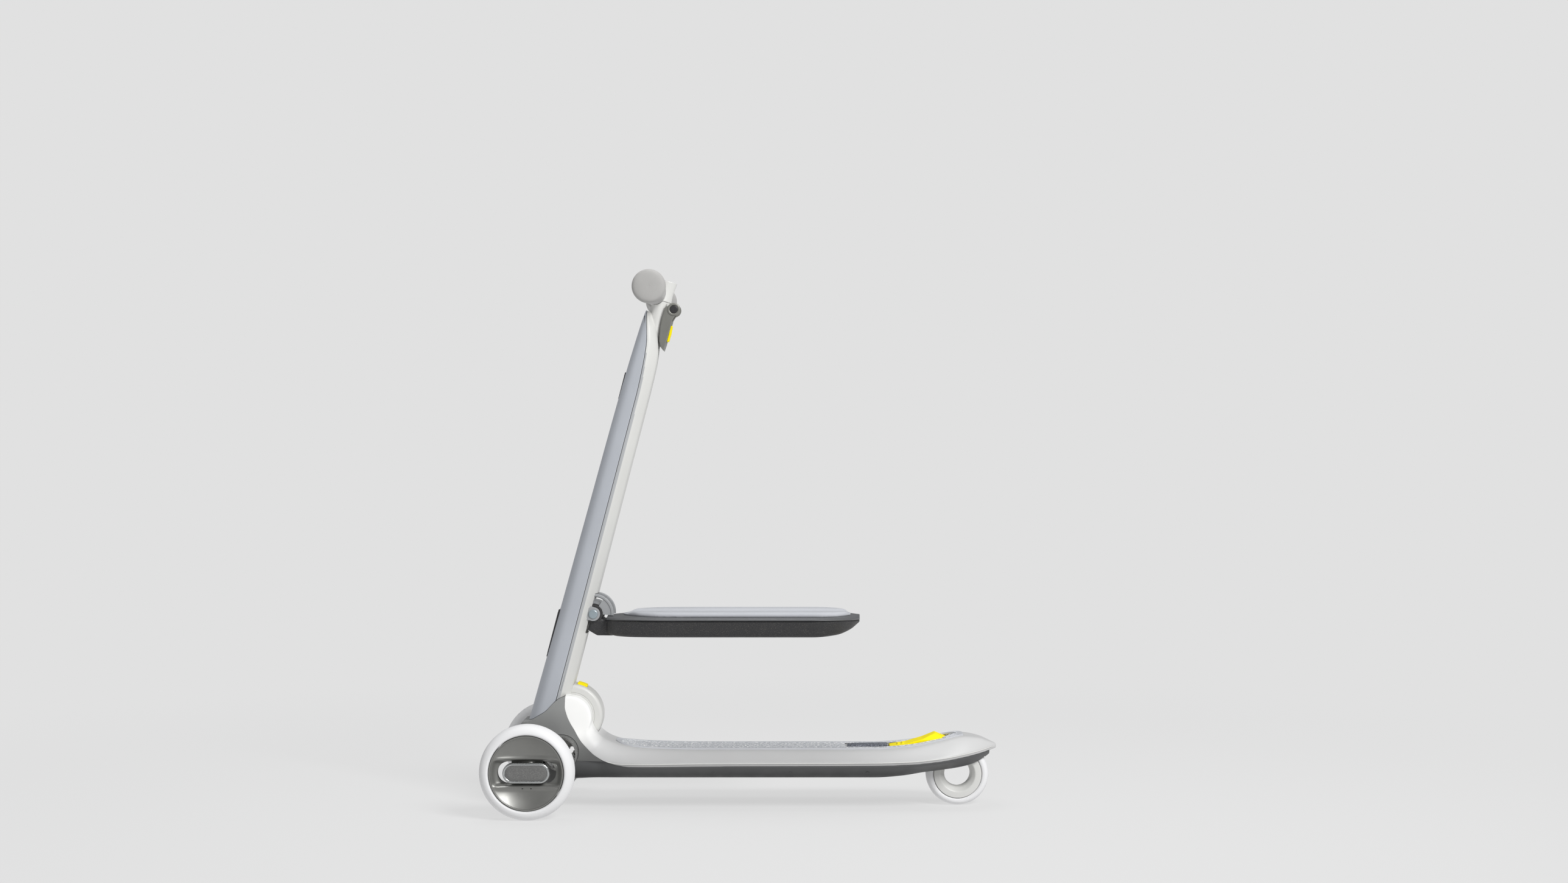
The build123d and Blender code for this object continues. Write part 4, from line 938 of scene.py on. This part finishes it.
def barrel():
    """Fold barrel with a pocket for its release button."""
    points = [
        (6, -20), (29.5, -20), (30.1, -19.3), (30.7, -20), (37.8, -20), (BARREL_R, -17.4),
        (BARREL_R, 17.4), (37.8, 20), (30.7, 20), (30.1, 19.3), (29.5, 20), (6, 20),
    ]
    radii = [0.1, 0.3, 0.2, 0.3, 1.6, 1.6, 1.6, 1.6, 0.3, 0.2, 0.3, 0.1]
    drum = lathe("barrel_drum", rounded(points, radii, 4), (FOLD_X, 0, FOLD_Z), 1, 160)
    out = Vector((cos(RELEASE_TURN), 0, sin(RELEASE_TURN)))
    over = Vector((-sin(RELEASE_TURN), 0, cos(RELEASE_TURN)))
    at = Vector((FOLD_X, 0, FOLD_Z))
    corners = [at + out * a + over * b for a, b in ((29, -6.8), (60, -6.8), (60, 6.8), (29, 6.8))]
    cut(drum, prism("pocket", [(p.x, p.z) for p in corners], -8.3, 8.3))
    settle(drum, "stem", "shell_light", 30, ["fold_barrel"], look="stem_light")


# ------------------------------------------------------------------ seat
def seat():
    """Seat hull with its hinge knuckles, and the band round its rim."""
    hull, band = [], []
    for x, half, rim, low, bottom, pad_half in stations(SEAT, SEAT[0][0], SEAT[-1][0], 3.5):
        edge = [(half - 3, rim - 1.4), (half - 3.4, rim - 4.0), (low, bottom)]
        hull.append(section(x, edge, [0.3, 3.0, 8.0], 6))
        inner = max(pad_half, 2.0)
        edge = [(inner, 249.0), (half - 2.2, rim + 2.0), (half, rim - 0.2), (half - 2.6, rim - 1.4)]
        band.append(section(x, edge, [0.5, 1.6, 0.8, 0.3], 4))
    hull = loft("seat_hull", hull)
    knuckles = [rod("knuckle", 12.5, SEAT_HINGE_X, SEAT_HINGE_Z, low, high)
                for low, high in ((-21.6, -14.2), (14.2, 21.6))]
    root = [(-200, 243), (-204.6, 230), (-192, 222.8), (-172, 222.6), (-172, 243.5)]
    root = prism("root", root, -21.4, 21.4)
    hull = fuse(join("seat_hull_skin", [hull, root] + knuckles), 1.2, 6)
    cut(hull, rod("middle", 13.0, SEAT_HINGE_X, SEAT_HINGE_Z, -14.0, 14.0))
    settle(hull, "seat", "seat_hull", 30, ["seat_pan"])
    band = loft("seat_band_skin", band)
    settle(band, "seat", "seat_band", 30, ["seat_rim"])


def seat_pad():
    """Moulded pad with a dished middle, and the trough along it."""
    pad = []
    for x, half, top in stations(PAD, PAD[0][0], PAD[-1][0], 3.0):
        if half > 34:
            dish = PAD_DISH if -140 < x < 120 else PAD_DISH * max(0.0, (top - 250.6) / 4.8) * 0.6
            edge = [(6, top - dish), (20, top - dish), (27.5, top), (half - 3.4, top), (half, top - 2.4)]
            radii = [3, 5, 5, 3.0, 1.6, 0.1]
        else:
            edge = [(half * 0.15, top - 0.2), (half * 0.4, top - 0.2), (half * 0.6, top),
                    (half - min(3.4, half * 0.3), top), (half, top - 1.6)]
            radii = [1, 1, 1, 2.0, 1.6, 0.1]
        pad.append(section(x, edge + [(half, PAD_FLOOR)], radii, 4))
    pad = loft("seat_pad_skin", pad)
    trough = rounded(TROUGH, [1, 3, 6, 6, 3, 1], 5)
    cut(pad, loft("stem_trough", [[(x, y, z) for y, z in trough] for x in (-170, 160)]))
    fuse(pad, 1.2, 5)
    settle(pad, "seat", "seat_foam", 40, ["seat_pad"])


def seat_hinge():
    """Drums that turn with the seat, and the plates and pin caps that stay with the stem."""
    at = (SEAT_HINGE_X, 0, SEAT_HINGE_Z)
    for label, side in SIDES:
        for piece, inner, start, wide in (("drum", 7.0, -4.0, 60.0), ("rim", 22.2, 56.4, 73.6)):
            web = max(inner, 22.4)
            points = [(inner, 16.3), (24, 16.3), (26.4, 16.3), (26.4, 21.6), (23.4, 21.6), (web, 20.4),
                      (inner, 20.4)]
            profile = rounded(points, [0.1, 0.1, 0.8, 0.9, 0.4, 0.1, 0.1], 4)
            drum = lathe(f"hinge_{piece}_{label}", profile, at, side, 60, start, wide)
            settle(drum, "seat", "seat_band", 30, look="drum_grey")
        points = [(13.2, 14.4), (17.4, 14.4), (17.4, 16.1), (13.2, 16.1)]
        web = lathe(f"hinge_web_{label}", points, at, side, 48, 54.0, 76.0)
        settle(web, "stem", "seat_band", 30, look="drum_grey")
        points = [(0, 25.8), (4.6, 25.8), (6.0, 26.2), (6.0, 27.0), (4.8, 27.7), (0, 27.9)]
        cap = lathe(f"hinge_cap_{label}", rounded(points, [0.1, 0.3, 0.4, 0.4, 0.6, 0.1], 3),
                    at, side, 64)
        settle(cap, "stem", "bright_steel", 30, look="pin_cap")


# ------------------------------------------------------------------ handlebar
def handlebar():
    """Grips and their end caps."""
    bar = stem_point(BAR_BACK, 0, BAR_UP)
    centre = (bar.x, 0, bar.z)
    for label, side in SIDES:
        points = [(11.1, 44), (14.4, 44), (16.6, 46.4), (18.0, 84), (21.0, 136), (21.35, 139.4),
                  (20.6, 140), (11.1, 140)]
        grip = lathe(f"grip_skin_{label}", rounded(points, [0.2, 1, 2, 8, 4, 0.4, 0.3, 0.1], 4),
                     centre, side, 128)
        settle(grip, "handlebar", "grip_rubber", 40, [f"grip_{label}"])
        points = [(0, 140.4), (20.7, 140.4), (21.35, 141), (21.35, 146), (19.2, 149.6), (13, 151), (0, 151)]
        cap = lathe(f"grip_end_{label}", rounded(points, [0.1, 0.3, 0.6, 2.4, 3, 5, 0.1], 5),
                    centre, side, 128)
        settle(cap, "handlebar", "grip_rubber", 40, ["grip_caps"] if side < 0 else ())


def lever_trim():
    """Rings and plugs at the ends of the lever's pin."""
    pin = stem_point(LEVER_BACK, 0, LEVER_UP)
    centre = (pin.x, 0, pin.z)
    for label, side in SIDES:
        points = [(5.4, 16.2), (8.5, 16.2), (8.5, 17.0), (7.4, 17.6), (6.2, 17.6), (5.4, 17.0)]
        profile = rounded(points, [0.1, 0.3, 0.5, 0.5, 0.4, 0.3], 3)
        ring = lathe(f"lever_ring_{label}", profile, centre, side, 64)
        settle(ring, "lever", "lever_grey", 30)
        points = [(0, 14), (5.2, 14), (5.2, 16.9), (4.4, 17.3), (0, 17.3)]
        plug = lathe(f"lever_plug_{label}", rounded(points, [0.1, 0.2, 0.4, 0.3, 0.1], 3), centre, side, 64)
        settle(plug, "stem", "lamp_black", 30)


# ------------------------------------------------------------------ studio
def grey(value):
    """A neutral colour from its linear value."""
    return value, value, value, 1


def stage():
    """Floor that catches soft shadows near the object and melts into the backdrop further out."""
    floor = bpy.data.meshes.new("floor")
    reach = FLOOR_REACH
    floor.from_pydata([(-reach, -reach, 0), (reach, -reach, 0), (reach, reach, 0), (-reach, reach, 0)], [],
                      [(0, 1, 2, 3)])
    floor = add("floor", floor)
    surface = bpy.data.materials.new("paper")
    surface.use_nodes = True
    nodes, links = surface.node_tree.nodes, surface.node_tree.links
    nodes.remove(nodes["Principled BSDF"])
    out = nodes["Material Output"]
    glow = fill(nodes.new("ShaderNodeEmission"), {"Color": grey(BACKGROUND), "Strength": 1.0})
    near = fill(nodes.new("ShaderNodeEmission"), {"Color": grey(BACKGROUND), "Strength": FLOOR_GLOW})
    paper = fill(nodes.new("ShaderNodeBsdfDiffuse"), {"Color": grey(FLOOR_ALBEDO)})
    lit = nodes.new("ShaderNodeAddShader")
    links.new(near.outputs[0], lit.inputs[0])
    links.new(paper.outputs[0], lit.inputs[1])
    coords = nodes.new("ShaderNodeTexCoord")
    length = nodes.new("ShaderNodeVectorMath")
    length.operation = "LENGTH"
    links.new(coords.outputs["Object"], length.inputs[0])
    fade = fill(nodes.new("ShaderNodeMapRange"), {"From Min": FADE_START, "From Max": FADE_END})
    fade.interpolation_type = "SMOOTHSTEP"
    links.new(length.outputs["Value"], fade.inputs["Value"])
    mix = nodes.new("ShaderNodeMixShader")
    links.new(fade.outputs["Result"], mix.inputs[0])
    links.new(lit.outputs[0], mix.inputs[1])
    links.new(glow.outputs[0], mix.inputs[2])
    links.new(mix.outputs[0], out.inputs["Surface"])
    floor.data.materials.append(surface)


def lamp(name, place, target, size, power):
    """An area light aimed at a target, in metres and watts."""
    light = bpy.data.lights.new(name, "AREA")
    light.shape = "RECTANGLE"
    light.size, light.size_y = size
    light.energy = power
    light = add(name, light)
    light.location = place
    light.rotation_euler = (Vector(target) - Vector(place)).to_track_quat("-Z", "Y").to_euler()


def studio():
    """World, lights and camera."""
    world = bpy.data.worlds.new("studio")
    world.use_nodes = True
    nodes, links = world.node_tree.nodes, world.node_tree.links
    backdrop = fill(nodes["Background"], {"Color": grey(BACKGROUND)})
    ambient = fill(nodes.new("ShaderNodeBackground"),
                   {"Color": (0.98, 0.99, 1.0, 1), "Strength": AMBIENT})
    seen = nodes.new("ShaderNodeLightPath")
    mix = nodes.new("ShaderNodeMixShader")
    links.new(seen.outputs["Is Camera Ray"], mix.inputs[0])
    links.new(ambient.outputs[0], mix.inputs[1])
    links.new(backdrop.outputs[0], mix.inputs[2])
    links.new(mix.outputs[0], nodes["World Output"].inputs["Surface"])
    bpy.context.scene.world = world
    lamp("key", (2.4, -3.2, 3.3), (0, 0, 0.2), (1.8, 1.8), 228)
    lamp("top", (-0.3, 0.3, 2.3), (0, 0, 0.2), (1.5, 1.5), 17)
    lamp("side", (-2.2, -1.2, 0.9), (0, 0, 0.3), (0.8, 1.4), 3)
    camera = bpy.data.cameras.new("camera")
    camera.lens = 50.0
    camera.sensor_width = 36.0
    camera.clip_end = 200.0
    camera = add("camera", camera)
    camera.location = CAMERA_AT
    camera.rotation_euler = (radians(CAMERA_TILT), 0, 0)
    bpy.context.scene.camera = camera
    bpy.context.scene.view_settings.view_transform = "Standard"


# ------------------------------------------------------------------ assembly
dress_nodes()
for label, side in SIDES:
    front_wheel(label, side)
deck_shell()
rim_line()
belly()
screws()
mat()
housing()
rear_wheel()
soften("brake_pedal", "pedal", "signal_yellow", 0.7, 3)
soften("pedal_tongue", "deck", "tongue_slate", 0.7, 2)
stem_shells()
barrel()
soften("seat_bracket", "stem", "cast_alloy", 0.6, 2, "drum_grey")
soften("fold_release_button", "release_button", "signal_yellow", 0.5, 4)
seat()
seat_pad()
seat_hinge()
handlebar()
soften("handlebar_collar", "handlebar", "tube_paint", 0.6, 4)
soften("quick_release_lever", "lever", "lever_grey", 0.5, 4)
soften("lever_button", "lever_catch", "signal_yellow", 0.5, 2)
lever_trim()
stage()
studio()
